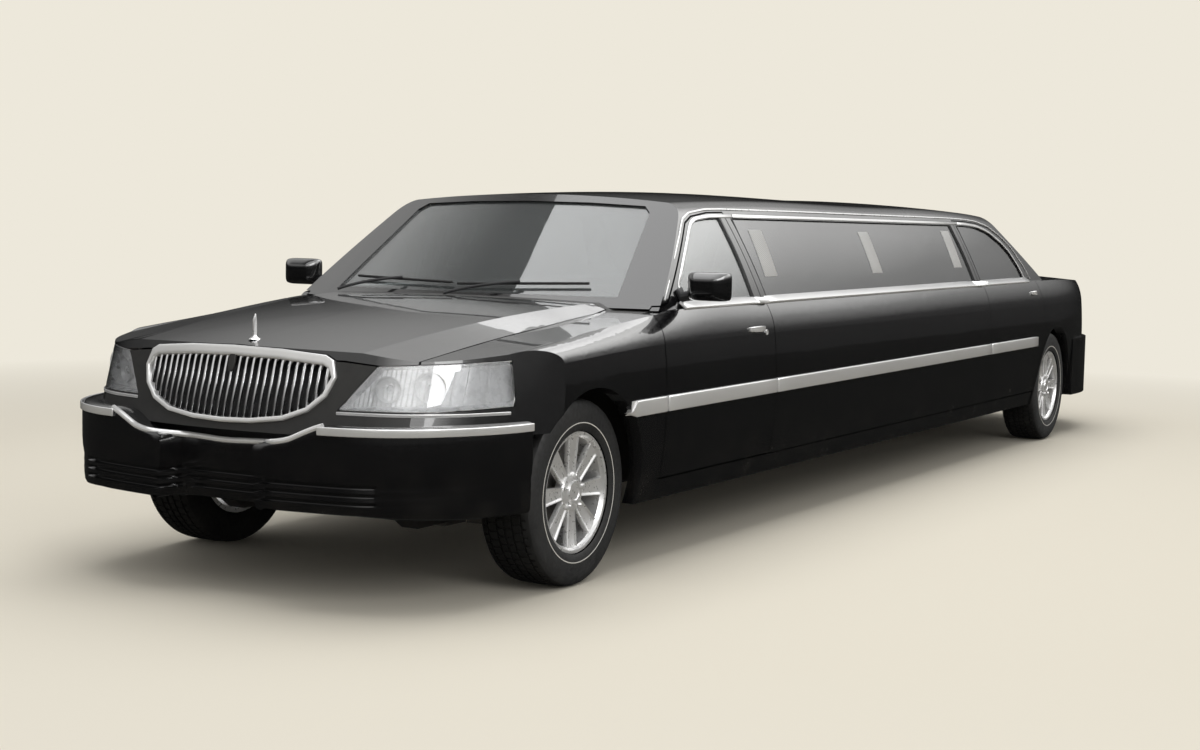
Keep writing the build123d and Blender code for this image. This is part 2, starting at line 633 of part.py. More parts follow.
# ---- interior ----
DASH = prism_x([(590.3, 700), (590.3, 960), (700, 985), (900, 960), (960, 900), (940, 720), (850, 660)], -850, 850)
DASH = whole(DASH & LOFT_REST)
with BuildPart() as dashboard:
    add(DASH)
with BuildPart() as steering_wheel:
    tilt = Pos(400, fy(1085), 880) * Rot(-62, 0, 0)
    add(tilt * Solid.make_torus(182, 15))
    add(tilt * Solid.make_cylinder(55, 40, Plane(origin=(0, 0, -20))))
    add(tilt * Solid.make_box(360, 40, 16, Plane(origin=(-180, -20, -8))))
    add((tilt * Solid.make_cylinder(28, 140, Plane(origin=(0, 0, -150)))) - DASH)
SEAT_SIDE = ((1150, 330.3), (1150, 560), (1620, 545), (1740, 1010), (1830, 1000), (1720, 520), (1700, 330.3))


def seat(x0, x1, side):
    return prism_x(side, x0, x1)


with BuildPart() as front_seats:
    for s in (-1, 1):
        add(seat(min(s * 130, s * 660), max(s * 130, s * 660), SEAT_SIDE))
with BuildPart() as cabin_seats:
    add(prism_x([(5000, 330.3), (5000, 600), (5340, 585), (5500, 1000), (5610, 1000), (5610, 604), (5340, 330.3)],
                -640, 640))
    add(box(-800, -330, fy(2500), fy(4580), 330.3, 600))
    add(box(-800, -690, fy(2500), fy(4580), 600, 960))
with BuildPart() as partition:
    add(box(-820, 820, fy(1960), fy(2010), FLOOR_Z + SEAT_GAP, 990))
mirror_head = box(935, 1125, fy(742), fy(842), 1038, 1160)
mirror_head = fillet(mirror_head.edges(), 24)
with BuildPart() as mirror_left:
    add(mirror_head)
    add(box(850, 985, fy(798), fy(838), 1044, 1082) - CAB_OUT - OUTER)
with BuildPart() as mirror_right:
    add(flip(mirror_left.part))

NODES = {
    "front_door_left": front_door_left, "front_door_right": front_door_right,
    "rear_door_left": rear_door_left, "rear_door_right": rear_door_right,
    "front_door_glass_left": front_door_glass_left, "front_door_glass_right": front_door_glass_right,
    "rear_door_glass_left": rear_door_glass_left, "rear_door_glass_right": rear_door_glass_right,
    "side_glass": side_glass, "roof": roof, "windshield": windshield, "rear_window": rear_window,
    "stretch_sides": stretch_sides, "sills": sills, "front_fenders": front_fenders, "hood": hood,
    "headlamps": headlamps, "grille": grille, "front_bumper": front_bumper, "rear_bumper": rear_bumper,
    "quarter_panels": quarter_panels, "trunk_lid": trunk_lid, "tail_panel": tail_panel,
    "tail_lamps": tail_lamps, "front_structure": front_structure, "floor_pan": floor_pan,
    "frame_rails": frame_rails, "crossmembers": crossmembers,
    "wheel_front_left": wheel_front_left, "wheel_front_right": wheel_front_right,
    "wheel_rear_left": wheel_rear_left, "wheel_rear_right": wheel_rear_right,
    "tyre_front_left": tyre_front_left, "tyre_front_right": tyre_front_right,
    "tyre_rear_left": tyre_rear_left, "tyre_rear_right": tyre_rear_right,
    "knuckle_left": knuckle_left, "knuckle_right": knuckle_right,
    "front_suspension": front_suspension, "rear_axle": rear_axle,
    "engine_block": engine_block, "exhaust": exhaust, "dashboard": dashboard,
    "steering_wheel": steering_wheel, "front_seats": front_seats, "cabin_seats": cabin_seats,
    "partition": partition, "door_frames": door_frames, "mirror_left": mirror_left, "mirror_right": mirror_right,
}
for node_name, node in NODES.items():
    node.part.label = node_name
    export_step(node.part, f"parts/{node_name}.step")
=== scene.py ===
import math

import bmesh
import bpy
from mathutils import Matrix, Vector
from mathutils.bvhtree import BVHTree


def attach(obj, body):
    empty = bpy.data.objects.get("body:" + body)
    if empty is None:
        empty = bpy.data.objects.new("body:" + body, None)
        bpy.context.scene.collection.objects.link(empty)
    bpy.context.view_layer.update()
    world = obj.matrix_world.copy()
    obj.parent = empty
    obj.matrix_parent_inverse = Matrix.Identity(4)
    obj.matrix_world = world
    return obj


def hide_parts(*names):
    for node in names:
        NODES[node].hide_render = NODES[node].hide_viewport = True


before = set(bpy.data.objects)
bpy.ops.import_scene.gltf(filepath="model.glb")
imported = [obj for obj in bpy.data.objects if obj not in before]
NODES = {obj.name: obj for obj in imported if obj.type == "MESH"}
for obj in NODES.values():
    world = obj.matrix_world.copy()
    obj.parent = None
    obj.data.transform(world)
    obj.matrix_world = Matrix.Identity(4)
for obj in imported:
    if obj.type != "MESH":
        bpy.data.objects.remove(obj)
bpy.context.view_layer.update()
bpy.ops.object.select_all(action="DESELECT")
for leftover in ("Cube", "Light", "Camera"):
    if leftover in bpy.data.objects:
        bpy.data.objects.remove(bpy.data.objects[leftover], do_unlink=True)

FRONT_AXLE = -3.25
REAR_AXLE = 2.788
HUB_Z = 0.35
ENDS = ("front", "rear")
SIDES = (("left", 1), ("right", -1))
FRONT_DOOR, REAR_DOOR = "front_door_{}_body", "rear_door_{}_body"


def fy(behind):
    """Metres behind the front axle to the shared Y."""
    return FRONT_AXLE + behind


# ---------------------------------------------------------------- shader writing
class Val:
    """A shader socket that can be used in sums."""

    def __init__(self, net, socket):
        self.net, self.socket = net, socket

    def _sum(self, how, a, b):
        return self.net.node("ShaderNodeMath", {"operation": how}, [a, b])

    def __add__(self, o):
        return self._sum("ADD", self, o)

    def __radd__(self, o):
        return self._sum("ADD", o, self)

    def __sub__(self, o):
        return self._sum("SUBTRACT", self, o)

    def __rsub__(self, o):
        return self._sum("SUBTRACT", o, self)

    def __mul__(self, o):
        return self._sum("MULTIPLY", self, o)

    def __rmul__(self, o):
        return self._sum("MULTIPLY", o, self)


class Net:
    """An emptied node tree and the ways its nodes are made."""

    def __init__(self, tree):
        self.tree = tree
        tree.nodes.clear()

    def feed(self, socket, value):
        if isinstance(value, Val):
            self.tree.links.new(value.socket, socket)
        else:
            socket.default_value = value

    def node(self, kind, settings=None, values=(), out=0):
        n = self.tree.nodes.new(kind)
        for key, value in (settings or {}).items():
            if key == "stops":
                ramp = n.color_ramp.elements
                while len(ramp) < len(value):
                    ramp.new(0.5)
                for stop, (at, colour) in zip(ramp, value):
                    stop.position, stop.color = at, colour
            else:
                setattr(n, key, value)
        pairs = values.items() if isinstance(values, dict) else enumerate(values)
        for key, value in pairs:
            self.feed(n.inputs[key], value)
        return Val(self, n.outputs[out])

    def fit(self, value, a, b, c, d):
        return self.node("ShaderNodeMapRange", {}, {"Value": value, "From Min": a, "From Max": b,
                                                    "To Min": c, "To Max": d})

    def mix_shaders(self, part, a, b):
        return self.node("ShaderNodeMixShader", {}, [part, a, b])

    def light_path(self, ray):
        return self.node("ShaderNodeLightPath", out=ray)


class Kit(Net):
    """One material: a principled shader and what feeds it."""

    def __init__(self, name):
        self.mat = bpy.data.materials.new(name)
        self.mat.use_nodes = True
        super().__init__(self.mat.node_tree)
        self.coat = self.tree.nodes.new("ShaderNodeBsdfPrincipled")
        self.out = self.tree.nodes.new("ShaderNodeOutputMaterial")
        self.tree.links.new(self.coat.outputs[0], self.out.inputs[0])

    def set(self, **values):
        for key, value in values.items():
            self.feed(self.coat.inputs[key.replace("_", " ")], value)
        return self.mat

    def place(self):
        return self.node("ShaderNodeTexCoord", out="Object")

    def axis(self, which):
        return self.node("ShaderNodeSeparateXYZ", {}, [self.place()], which)

    def noise(self, scale, detail=3.0, rough=0.5, stretch=None):
        at = self.place()
        if stretch:
            at = self.node("ShaderNodeMapping", {}, {"Vector": at, "Scale": stretch})
        return self.node("ShaderNodeTexNoise", {}, {"Vector": at, "Scale": scale, "Detail": detail,
                                                    "Roughness": rough})

    def spots(self, scale):
        return self.node("ShaderNodeTexVoronoi", {"feature": "F1"}, {"Vector": self.place(), "Scale": scale})

    def fraction(self, value):
        return self.node("ShaderNodeMath", {"operation": "FRACT"}, [value])

    def blend(self, part, a, b):
        """Colour a where part is 0, colour b where it is 1."""
        return self.node("ShaderNodeMix", {"data_type": "RGBA"}, {0: part, 6: a, 7: b}, 2)

    def bump(self, height, strength, distance):
        return self.node("ShaderNodeBump", {}, {"Strength": strength, "Distance": distance, "Height": height})


def rgb(r, g, b):
    return (r, g, b, 1.0)


def gloss_black_paint():
    k = Kit("gloss_black_paint")
    cloud = k.noise(1.7, 4.0)
    road = k.fit(k.axis(2), 0.24, 0.62, 1.0, 0.0)
    dust = road * k.fit(k.noise(9.0, 5.0), 0.42, 0.75, 0.0, 0.35)
    base = k.blend(cloud, rgb(0.003, 0.003, 0.0035), rgb(0.006, 0.006, 0.0065))
    return k.set(Base_Color=k.blend(dust, base, rgb(0.035, 0.032, 0.028)),
                 Roughness=k.fit(k.noise(60.0, 2.0), 0.3, 0.7, 0.16, 0.24) + dust * 0.25,
                 Coat_Weight=1.0 - dust * 0.6, Coat_Roughness=0.02, Coat_IOR=1.75,
                 Normal=k.bump(k.noise(420.0, 1.0), 0.02, 0.0004))


def bright_chrome():
    k = Kit("bright_chrome")
    wipe = k.noise(26.0, 3.0, 0.5, (1.0, 0.15, 1.0))
    return k.set(Base_Color=k.blend(wipe, rgb(0.80, 0.80, 0.81), rgb(0.88, 0.88, 0.88)), Metallic=1.0,
                 Roughness=k.fit(wipe, 0.3, 0.7, 0.05, 0.12))


def bright_trim():
    """Anodised bright strip, paler than plated chrome from every side."""
    k = Kit("bright_trim")
    wipe = k.noise(14.0, 3.0, 0.5, (1.0, 0.1, 1.0))
    return k.set(Base_Color=k.blend(wipe, rgb(0.84, 0.84, 0.84), rgb(0.93, 0.93, 0.93)), Metallic=0.55,
                 Roughness=k.fit(wipe, 0.3, 0.7, 0.16, 0.26))


def exhaust_steel():
    k = Kit("exhaust_steel")
    grain = k.noise(30.0, 4.0)
    return k.set(Base_Color=k.blend(grain, rgb(0.24, 0.22, 0.2), rgb(0.46, 0.44, 0.42)), Metallic=0.85,
                 Roughness=k.fit(grain, 0.3, 0.7, 0.3, 0.45), Normal=k.bump(k.noise(90.0, 4.0), 0.25, 0.001))


def plain(name, low, high, rough, scale=40.0, lift=0.15, metal=0.0, deep=0.0006):
    """Grained finish between two colours, its grain lift strong and deep metres high."""
    k = Kit(name)
    grain = k.noise(scale, 4.0)
    return k.set(Base_Color=k.blend(grain, rgb(*low), rgb(*high)), Metallic=metal,
                 Roughness=k.fit(grain, 0.3, 0.7, rough, min(1.0, rough + 0.12)),
                 Normal=k.bump(k.noise(scale * 6.0, 3.0), lift, deep))


def cast_alloy():
    k = Kit("cast_alloy")
    grain = k.noise(70.0, 3.0)
    brake_dust = k.fit(k.noise(9.0, 4.0), 0.6, 0.9, 0.0, 0.12)
    clean = k.blend(grain, rgb(0.74, 0.74, 0.74), rgb(0.86, 0.86, 0.86))
    return k.set(Base_Color=k.blend(brake_dust, clean, rgb(0.36, 0.34, 0.32)), Metallic=0.6,
                 Roughness=k.fit(grain, 0.3, 0.7, 0.26, 0.34), Normal=k.bump(grain, 0.03, 0.0003))


def pane(name, tint, weight):
    """Glass that lets weight of the light through; a thin film of dust varies its tint."""
    k = Kit(name)
    film = k.noise(3.0, 3.0)
    dark = tuple(c * 0.8 for c in tint)
    return k.set(Base_Color=k.blend(film, rgb(*tint), rgb(*dark)),
                 Roughness=k.fit(film, 0.3, 0.7, 0.01, 0.03),
                 Transmission_Weight=weight, IOR=1.5, Coat_Weight=1.0, Coat_Roughness=0.01, Coat_IOR=1.7)


def red_lens():
    k = Kit("red_lens")
    wave = k.fraction(k.fit(k.axis(2) * 90.0, 0.0, 1.0, 0.0, 1.0))
    return k.set(Base_Color=k.blend(wave, rgb(0.42, 0.008, 0.008), rgb(0.26, 0.004, 0.004)), Roughness=0.12,
                 Coat_Weight=1.0, Coat_Roughness=0.03, Normal=k.bump(wave, 0.3, 0.001))


def tyre_rubber():
    k = Kit("tyre_rubber")
    grain = k.noise(55.0, 4.0)
    worn = k.fit(k.noise(7.0, 4.0), 0.45, 0.75, 0.0, 0.5)
    fresh = k.blend(grain, rgb(0.006, 0.006, 0.006), rgb(0.012, 0.012, 0.0115))
    return k.set(Base_Color=k.blend(worn, fresh, rgb(0.026, 0.025, 0.023)),
                 Roughness=k.fit(grain, 0.3, 0.7, 0.55, 0.8),
                 Normal=k.bump(k.noise(380.0, 3.0), 0.25, 0.0004))


def cabin_leather():
    k = Kit("cabin_leather")
    pebble = k.spots(420.0)
    crease = k.noise(22.0, 5.0)
    return k.set(Base_Color=k.blend(crease, rgb(0.022, 0.019, 0.017), rgb(0.045, 0.04, 0.036)),
                 Roughness=k.fit(crease, 0.3, 0.7, 0.38, 0.55), Normal=k.bump(pebble, 0.35, 0.0006))


def cabin_carpet():
    k = Kit("cabin_carpet")
    return k.set(Base_Color=k.blend(k.noise(14.0, 4.0), rgb(0.018, 0.018, 0.02), rgb(0.05, 0.05, 0.053)),
                 Roughness=0.95, Normal=k.bump(k.spots(900.0), 0.8, 0.003))


def lamp_panel():
    """Pale panel with a fine raised lattice."""
    k = Kit("lamp_panel")
    grid = k.fit(k.fraction(k.axis(2) * 70.0 + k.axis(1) * 45.0), 0.25, 0.75, 0.0, 1.0)
    return k.set(Base_Color=k.blend(grid, rgb(0.30, 0.30, 0.30), rgb(0.55, 0.55, 0.54)), Roughness=0.5,
                 Normal=k.bump(grid, 0.3, 0.001))


def lacquered_wood():
    k = Kit("lacquered_wood")
    ring = k.node("ShaderNodeTexWave", {"wave_type": "BANDS", "bands_direction": "Z"},
                  {"Vector": k.place(), "Scale": 9.0, "Distortion": 7.0, "Detail": 4.0, "Detail Scale": 1.6},
                  "Fac")
    return k.set(Base_Color=k.blend(ring, rgb(0.10, 0.038, 0.014), rgb(0.24, 0.10, 0.038)),
                 Roughness=k.fit(ring, 0.0, 1.0, 0.2, 0.34), Coat_Weight=0.8)


PAINT = gloss_black_paint()
CHROME = bright_chrome()
TRIM = bright_trim()
ALLOY = cast_alloy()
RUBBER = tyre_rubber()
SCREEN = pane("screen_glass", (0.62, 0.66, 0.66), 0.92)
TINT = pane("tinted_glass", (0.16, 0.165, 0.17), 0.75)
CLEAR = pane("clear_lens", (0.96, 0.97, 0.98), 0.95)
RED = red_lens()
LEATHER = cabin_leather()
CARPET = cabin_carpet()
WOOD = lacquered_wood()
FRAME_BLACK = plain("frame_black", (0.012, 0.012, 0.012), (0.03, 0.029, 0.027), 0.5)
SOFT_BLACK = plain("soft_black_plastic", (0.014, 0.014, 0.015), (0.028, 0.028, 0.03), 0.55, 120.0, 0.3)
CAST = plain("cast_iron", (0.09, 0.088, 0.085), (0.16, 0.15, 0.14), 0.6, 30.0, 0.5, 0.6, 0.001)
EXHAUST = exhaust_steel()
LAMP_PANEL = lamp_panel()
MIRROR = plain("mirror_face", (0.86, 0.87, 0.88), (0.9, 0.9, 0.9), 0.02, 8.0, 0.0, 1.0)
WHITEWALL = plain("white_sidewall", (0.60, 0.59, 0.56), (0.74, 0.73, 0.70), 0.6, 60.0, 0.1)
# painted reflection: the lamp reflectors get a pale, mostly diffuse colour in place of mirrored chrome, so
# they read bright
REFLECTOR = plain("lamp_reflector", (0.84, 0.84, 0.85), (0.95, 0.95, 0.95), 0.22, 30.0, 0.02, 0.12)
RUBBER_TRIM = plain("trim_rubber", (0.012, 0.012, 0.012), (0.02, 0.02, 0.02), 0.6, 80.0, 0.2)

DRESS = {
    PAINT: ("roof", "stretch_sides", "sills", "front_fenders", "hood", "front_bumper", "rear_bumper",
            "quarter_panels", "trunk_lid", "tail_panel", "door_frames", "front_door_left", "front_door_right",
            "rear_door_left", "rear_door_right", "mirror_left", "mirror_right"),
    SCREEN: ("windshield", "front_door_glass_left", "front_door_glass_right"),
    TINT: ("side_glass", "rear_window", "rear_door_glass_left", "rear_door_glass_right"),
    TRIM: ("grille",),
    CLEAR: ("headlamps",),
    RED: ("tail_lamps",),
    FRAME_BLACK: ("front_structure", "frame_rails", "crossmembers"),
    CAST: ("front_suspension", "rear_axle", "engine_block", "knuckle_left", "knuckle_right"),
    EXHAUST: ("exhaust",),
    SOFT_BLACK: ("dashboard", "steering_wheel"),
    LEATHER: ("front_seats", "cabin_seats"),
    CARPET: ("floor_pan",),
    WOOD: ("partition",),
    ALLOY: tuple(f"wheel_{end}_{side}" for end in ENDS for side, _ in SIDES),
    RUBBER: tuple(f"tyre_{end}_{side}" for end in ENDS for side, _ in SIDES),
}
SLOT_OF = {
    PAINT: "body_paint",
    CHROME: "chrome", TRIM: "chrome", REFLECTOR: "chrome", MIRROR: "chrome", ALLOY: "alloy",
    SOFT_BLACK: "interior_plastic", RUBBER_TRIM: "interior_plastic", LEATHER: "leather",
    FRAME_BLACK: "frame_paint", CAST: "cast_iron", RUBBER: "tyre", WHITEWALL: "tyre",
    CLEAR: "lamp_clear", LAMP_PANEL: "lamp_clear",
}
for finish, names in DRESS.items():
    for name in names:
        for slot in NODES[name].material_slots:
            slot.material = finish


# ---------------------------------------------------------------- piece making
def wake(obj):
    if bpy.context.object is not None and bpy.context.object.mode != "OBJECT":
        bpy.ops.object.mode_set(mode="OBJECT")
    bpy.ops.object.select_all(action="DESELECT")
    obj.select_set(True)
    bpy.context.view_layer.objects.active = obj


def named(name):
    obj = bpy.context.object
    obj.name = obj.data.name = name
    return obj


def settle(obj):
    """Puts the object's place into its mesh."""
    wake(obj)
    bpy.ops.object.transform_apply(location=True, rotation=True, scale=True)
    return obj


def edit(obj, pick=None, kind="VERT"):
    """Opens obj in edit mode with the vertices or faces that pick accepts selected."""
    wake(obj)
    bpy.ops.object.mode_set(mode="EDIT")
    bpy.ops.mesh.select_mode(type=kind)
    bpy.ops.mesh.select_all(action="SELECT" if pick is None else "DESELECT")
    if pick is not None:
        bpy.ops.object.mode_set(mode="OBJECT")
        if kind == "VERT":
            for v in obj.data.vertices:
                v.select = pick(v.co)
        else:
            for f in obj.data.polygons:
                f.select = pick(f.center, f.normal)
        bpy.ops.object.mode_set(mode="EDIT")


def close():
    bpy.ops.object.mode_set(mode="OBJECT")


def turn_by(angle, axis, centre):
    bpy.ops.transform.rotate(value=-angle, orient_axis=axis, center_override=centre)


def stretch(factors, centre):
    bpy.ops.transform.resize(value=factors, center_override=centre)


def shift(way):
    bpy.ops.transform.translate(value=way)


def agree():
    """Turns the selected faces of the mesh being edited the same way out."""
    bpy.ops.mesh.normals_make_consistent(inside=False)


def face_way(obj, x=0.0, y=0.0):
    """Makes an open sheet's faces agree and point along +X, -X, +Y or -Y, whichever is given as 1 or -1."""
    edit(obj)
    agree()
    close()
    if sum(f.normal.x * x + f.normal.y * y for f in obj.data.polygons) < 0:
        obj.data.flip_normals()


def heal(obj, merge=0.00002):
    edit(obj)
    bpy.ops.mesh.remove_doubles(threshold=merge)
    agree()
    close()
    return obj


def sunk(obj, border, depth, way=1):
    """Insets the faces of obj that look along way (0 X, 1 Y) and sinks them by depth."""
    edit(obj, lambda c, n: n[way] > 0.9, "FACE")
    bpy.ops.mesh.inset(thickness=border, depth=-depth)
    close()


def joined(pieces, name):
    """Joins pieces into the last of them."""
    bpy.ops.object.select_all(action="DESELECT")
    for obj in pieces:
        obj.select_set(True)
    bpy.context.view_layer.objects.active = pieces[-1]
    bpy.ops.object.join()
    return named(name)


def modify(obj, kind, **settings):
    wake(obj)
    m = obj.modifiers.new("shape", kind)
    for key, value in settings.items():
        setattr(m, key, value)
    bpy.ops.object.modifier_apply(modifier=m.name)
    return obj


def rounded(obj, width, segments=3, angle=0.6):
    return modify(obj, "BEVEL", width=width, segments=segments, limit_method="ANGLE", angle_limit=angle,
                  harden_normals=False)


def dress(obj, body, finish, slot=None, angle=0.6):
    """Gives obj its finish and the body it rides on; its slot, the finish's usual one unless another is
    named, is worked out but not used.
    """
    slot = slot or SLOT_OF[finish]
    obj.data.materials.clear()
    obj.data.materials.append(finish)
    wake(obj)
    bpy.ops.object.shade_smooth_by_angle(angle=angle)
    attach(obj, body)
    return obj


def twin(obj, name):
    """The same piece on the other side of the car."""
    wake(obj)
    bpy.ops.object.duplicate()
    other = named(name)
    edit(other)
    stretch((-1, 1, 1), (0, 0, 0))
    agree()
    close()
    return other


def both_sides(obj, stem, body, finish, slot=None, angle=0.6):
    """Finishes a left piece and its copy on the right; body holds {} where left or right goes."""
    obj.name = obj.data.name = stem + "_left"
    other = twin(obj, stem + "_right")
    dress(obj, body.format("left"), finish, slot, angle)
    dress(other, body.format("right"), finish, slot, angle)
    return obj, other


def stand_for(pair, node):
    """Hides the left and right CAD node in whose place a left and a right piece stand; node holds {} for the
    side, and the pieces in pair are not used.
    """
    for (side, _), obj in zip(SIDES, pair):
        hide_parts(node.format(side))


def form(names, keep):
    """A loose copy of some CAD nodes' faces, to lay trim on, and its search tree."""
    bm = bmesh.new()
    for name in names:
        bm.from_mesh(NODES[name].data)
    spare = [f for f in bm.faces if not keep(f.calc_center_median(), f.normal)]
    bmesh.ops.delete(bm, geom=spare, context="FACES")
    mesh = bpy.data.meshes.new("form")
    bm.to_mesh(mesh)
    bm.free()
    obj = bpy.data.objects.new("form", mesh)
    bpy.context.collection.objects.link(obj)
    corners = [v.co.copy() for v in mesh.vertices]
    return obj, BVHTree.FromPolygons(corners, [tuple(f.vertices) for f in mesh.polygons])


SIDE_FORM, SIDE_TREE = form(
    ("front_fenders", "front_door_left", "stretch_sides", "sills", "rear_door_left", "quarter_panels", "roof",
     "side_glass", "front_door_glass_left", "rear_door_glass_left", "door_frames"),
    lambda c, n: c.x > 0.3 and n.x > 0.02)
FRONT_FORM, FRONT_TREE = form(
    ("windshield", "hood", "front_bumper", "grille", "headlamps", "front_structure", "roof"),
    lambda c, n: c.y < -1.2)
LAMP_FORM, LAMP_TREE = form(("headlamps",), lambda c, n: c.x > 0)
BUMPER_FORM, BUMPER_TREE = form(("front_bumper",), lambda c, n: c.x > 0.2)
NOSE_FORM, NOSE_TREE = form(("front_fenders", "front_structure"),
                            lambda c, n: c.x > 0 and n.y < 0.3 and c.z > 0.6)
SCREEN_FORM, SCREEN_TREE = form(("windshield",), lambda c, n: n.z > 0.1)
TAIL_FORM, TAIL_TREE = form(("trunk_lid", "tail_panel", "rear_bumper", "quarter_panels", "tail_lamps"),
                            lambda c, n: c.y > 2.9)
FORMS = (SIDE_FORM, FRONT_FORM, LAMP_FORM, BUMPER_FORM, NOSE_FORM, SCREEN_FORM, TAIL_FORM)
AHEAD_OF_ALL, BEHIND_ALL, BESIDE_ALL = -4.8, 4.8, 1.4


def side_x(y, z, tree=SIDE_TREE, missed=0.95):
    """X of the first surface met from the left at y, z."""
    hit = tree.ray_cast(Vector((BESIDE_ALL, y, z)), Vector((-1, 0, 0)))[0]
    return hit.x if hit is not None else missed


def front_y(x, z, tree=FRONT_TREE):
    """Y of the first surface met from the front at x, z."""
    hit = tree.ray_cast(Vector((x, AHEAD_OF_ALL, z)), Vector((0, 1, 0)))[0]
    return hit.y if hit is not None else fy(-0.9)


def tail_y(x, z):
    """Y of the first surface met from behind at x, z."""
    hit = TAIL_TREE.ray_cast(Vector((x, BEHIND_ALL, z)), Vector((0, -1, 0)))[0]
    return hit.y if hit is not None else 4.1


def between(table, x):
    """Height at x on a line through points (x, z)."""
    for (x0, z0), (x1, z1) in zip(table, table[1:]):
        if x <= x1:
            return z0 + (z1 - z0) * (x - x0) / (x1 - x0)
    return table[-1][1]


def ribbon(name, path, width, proud, round_to=0.6):
    """Trim band on the left side along path of (mm behind the front axle, mm up), laid on the bodywork."""
    start_x, laid_x, sink = 1.3, 1.25, 0.0005
    pts = [Vector((start_x, fy(y / 1000), z / 1000)) for y, z in path]
    heads = [math.atan2((b - a).z, (b - a).y) for a, b in zip(pts, pts[1:])]
    first = pts[1] - pts[0]
    bpy.ops.mesh.primitive_plane_add(size=1.0, location=(pts[0] + pts[1]) / 2)
    obj = named(name)
    obj.scale = (width, first.length, 1)
    outward = Vector((1, 0, 0))
    onward = Vector((0, math.cos(heads[0]), math.sin(heads[0])))
    obj.rotation_euler = Matrix((onward.cross(outward), onward, outward)).transposed().to_euler()
    settle(obj)
    along = first.normalized()
    edit(obj, lambda c: (c - pts[0]).dot(along) > first.length / 2)
    for i in range(2, len(pts) + 1):
        half = (heads[i - 1] - heads[i - 2]) / 2 if i < len(pts) else 0.0
        turn_by(half, "X", pts[i - 1])
        if i == len(pts):
            break
        bpy.ops.mesh.extrude_region_move(TRANSFORM_OT_translate={"value": pts[i] - pts[i - 1]})
        turn_by(half, "X", pts[i])
    close()
    modify(obj, "SHRINKWRAP", target=SIDE_FORM, wrap_method="PROJECT", use_project_x=True,
           use_positive_direction=False, use_negative_direction=True)
    for v in obj.data.vertices:
        if v.co.x > laid_x:
            v.co.x = side_x(v.co.y, v.co.z)
    face_way(obj, x=1)
    edit(obj)
    shift((-sink, 0, 0))
    close()
    modify(obj, "SOLIDIFY", thickness=proud + sink, offset=1.0, use_even_offset=False)
    return rounded(obj, min(width * 0.3, proud * round_to), 3)


def spaced(a, b, n):
    return [a + (b - a) * i / n for i in range(n + 1)]


def smooth_path(points, reach=0.25, n=4):
    """Path with each inner corner eased into a short curve."""
    out = [points[0]]
    for before, corner, after in zip(points, points[1:], points[2:]):
        ins = [b + (a - b) * reach for a, b in zip(before, corner)]
        outs = [b + (c - b) * reach for b, c in zip(corner, after)]
        for i in range(n + 1):
            t = i / n
            out.append(tuple((1 - t) ** 2 * p + 2 * t * (1 - t) * b + t * t * q
                             for p, b, q in zip(ins, corner, outs)))
    out.append(points[-1])
    return out


def rod(name, points, radius):
    """Round bar through points in metres, as a curve that is made a mesh."""
    data = bpy.data.curves.new(name, "CURVE")
    data.dimensions = "3D"
    line = data.splines.new("NURBS")
    line.points.add(len(points) - 1)
    for p, at in zip(line.points, points):
        p.co = (*at, 1)
    line.order_u = 3
    line.use_endpoint_u = True
    data.resolution_u = 6
    data.bevel_depth = radius
    data.bevel_resolution = 3
    data.use_fill_caps = True
    obj = bpy.data.objects.new(name, data)
    bpy.context.collection.objects.link(obj)
    wake(obj)
    bpy.ops.object.convert(target="MESH")
    return named(name)


def block(name, centre, size, bevel, segments=3, turned=(0, 0, 0), cuts=0):
    bpy.ops.mesh.primitive_cube_add(size=1.0, location=centre, rotation=turned)
    obj = named(name)
    obj.scale = size
    settle(obj)
    if cuts:
        edit(obj)
        bpy.ops.mesh.subdivide(number_cuts=cuts)
        close()
    return rounded(obj, bevel, segments) if bevel else obj


def turned_ring(name, centre, profile, axis="X", steps=64):
    """Profile of (along axis, radius) spun about the axis through centre, closed on itself."""
    n = len(profile)
    bpy.ops.mesh.primitive_circle_add(vertices=n, radius=0.01, location=(0, 0, 0))
    obj = named(name)
    for v, (a, r) in zip(obj.data.vertices, profile):
        v.co = Vector(centre) + (Vector((a, 0, r)) if axis == "X" else Vector((0, a, r)))
    edit(obj)
    spin_axis = (1, 0, 0) if axis == "X" else (0, 1, 0)
    bpy.ops.mesh.spin(steps=steps, angle=math.tau, center=centre, axis=spin_axis)
    close()
    return heal(obj, 0.0001)


# ---------------------------------------------------------------- bodywork trim
# each length of trim has its ends in mm behind the front axle, and the body that carries it
MOULDING = (("fender", 258, 543, "body"), ("front_door", 553, 1583, FRONT_DOOR),
            ("stretch", 1593, 4633, "body"), ("rear_door", 4643, 5573, REAR_DOOR))
for part, y0, y1, body in MOULDING:
    path = [(y, 643 + 0.0040 * (y - 260)) for y in spaced(y0, y1, 8 if part != "stretch" else 24)]
    bar = ribbon(f"side_moulding_{part}", path, 0.062, 0.012, round_to=0.9)
    if part == "fender":
        edit(bar, lambda c: c.y < fy(0.262))
        stretch((1, 1, 0.1), (0.97, fy(0.258), 0.628))
        close()
    both_sides(bar, f"side_moulding_{part}", body, TRIM)

BELT = (("front_door", 806, 1583, FRONT_DOOR), ("stretch", 1593, 4633, "body"),
        ("rear_door", 4643, 5572, REAR_DOOR))
for part, y0, y1, body in BELT:
    path = [(y, 1014 + 24 * (y - 900) / 3800) for y in spaced(y0, y1, 10 if part != "stretch" else 24)]
    bar = ribbon(f"belt_strip_{part}", path, 0.026, 0.012, round_to=0.9)
    both_sides(bar, f"belt_strip_{part}", body, TRIM)

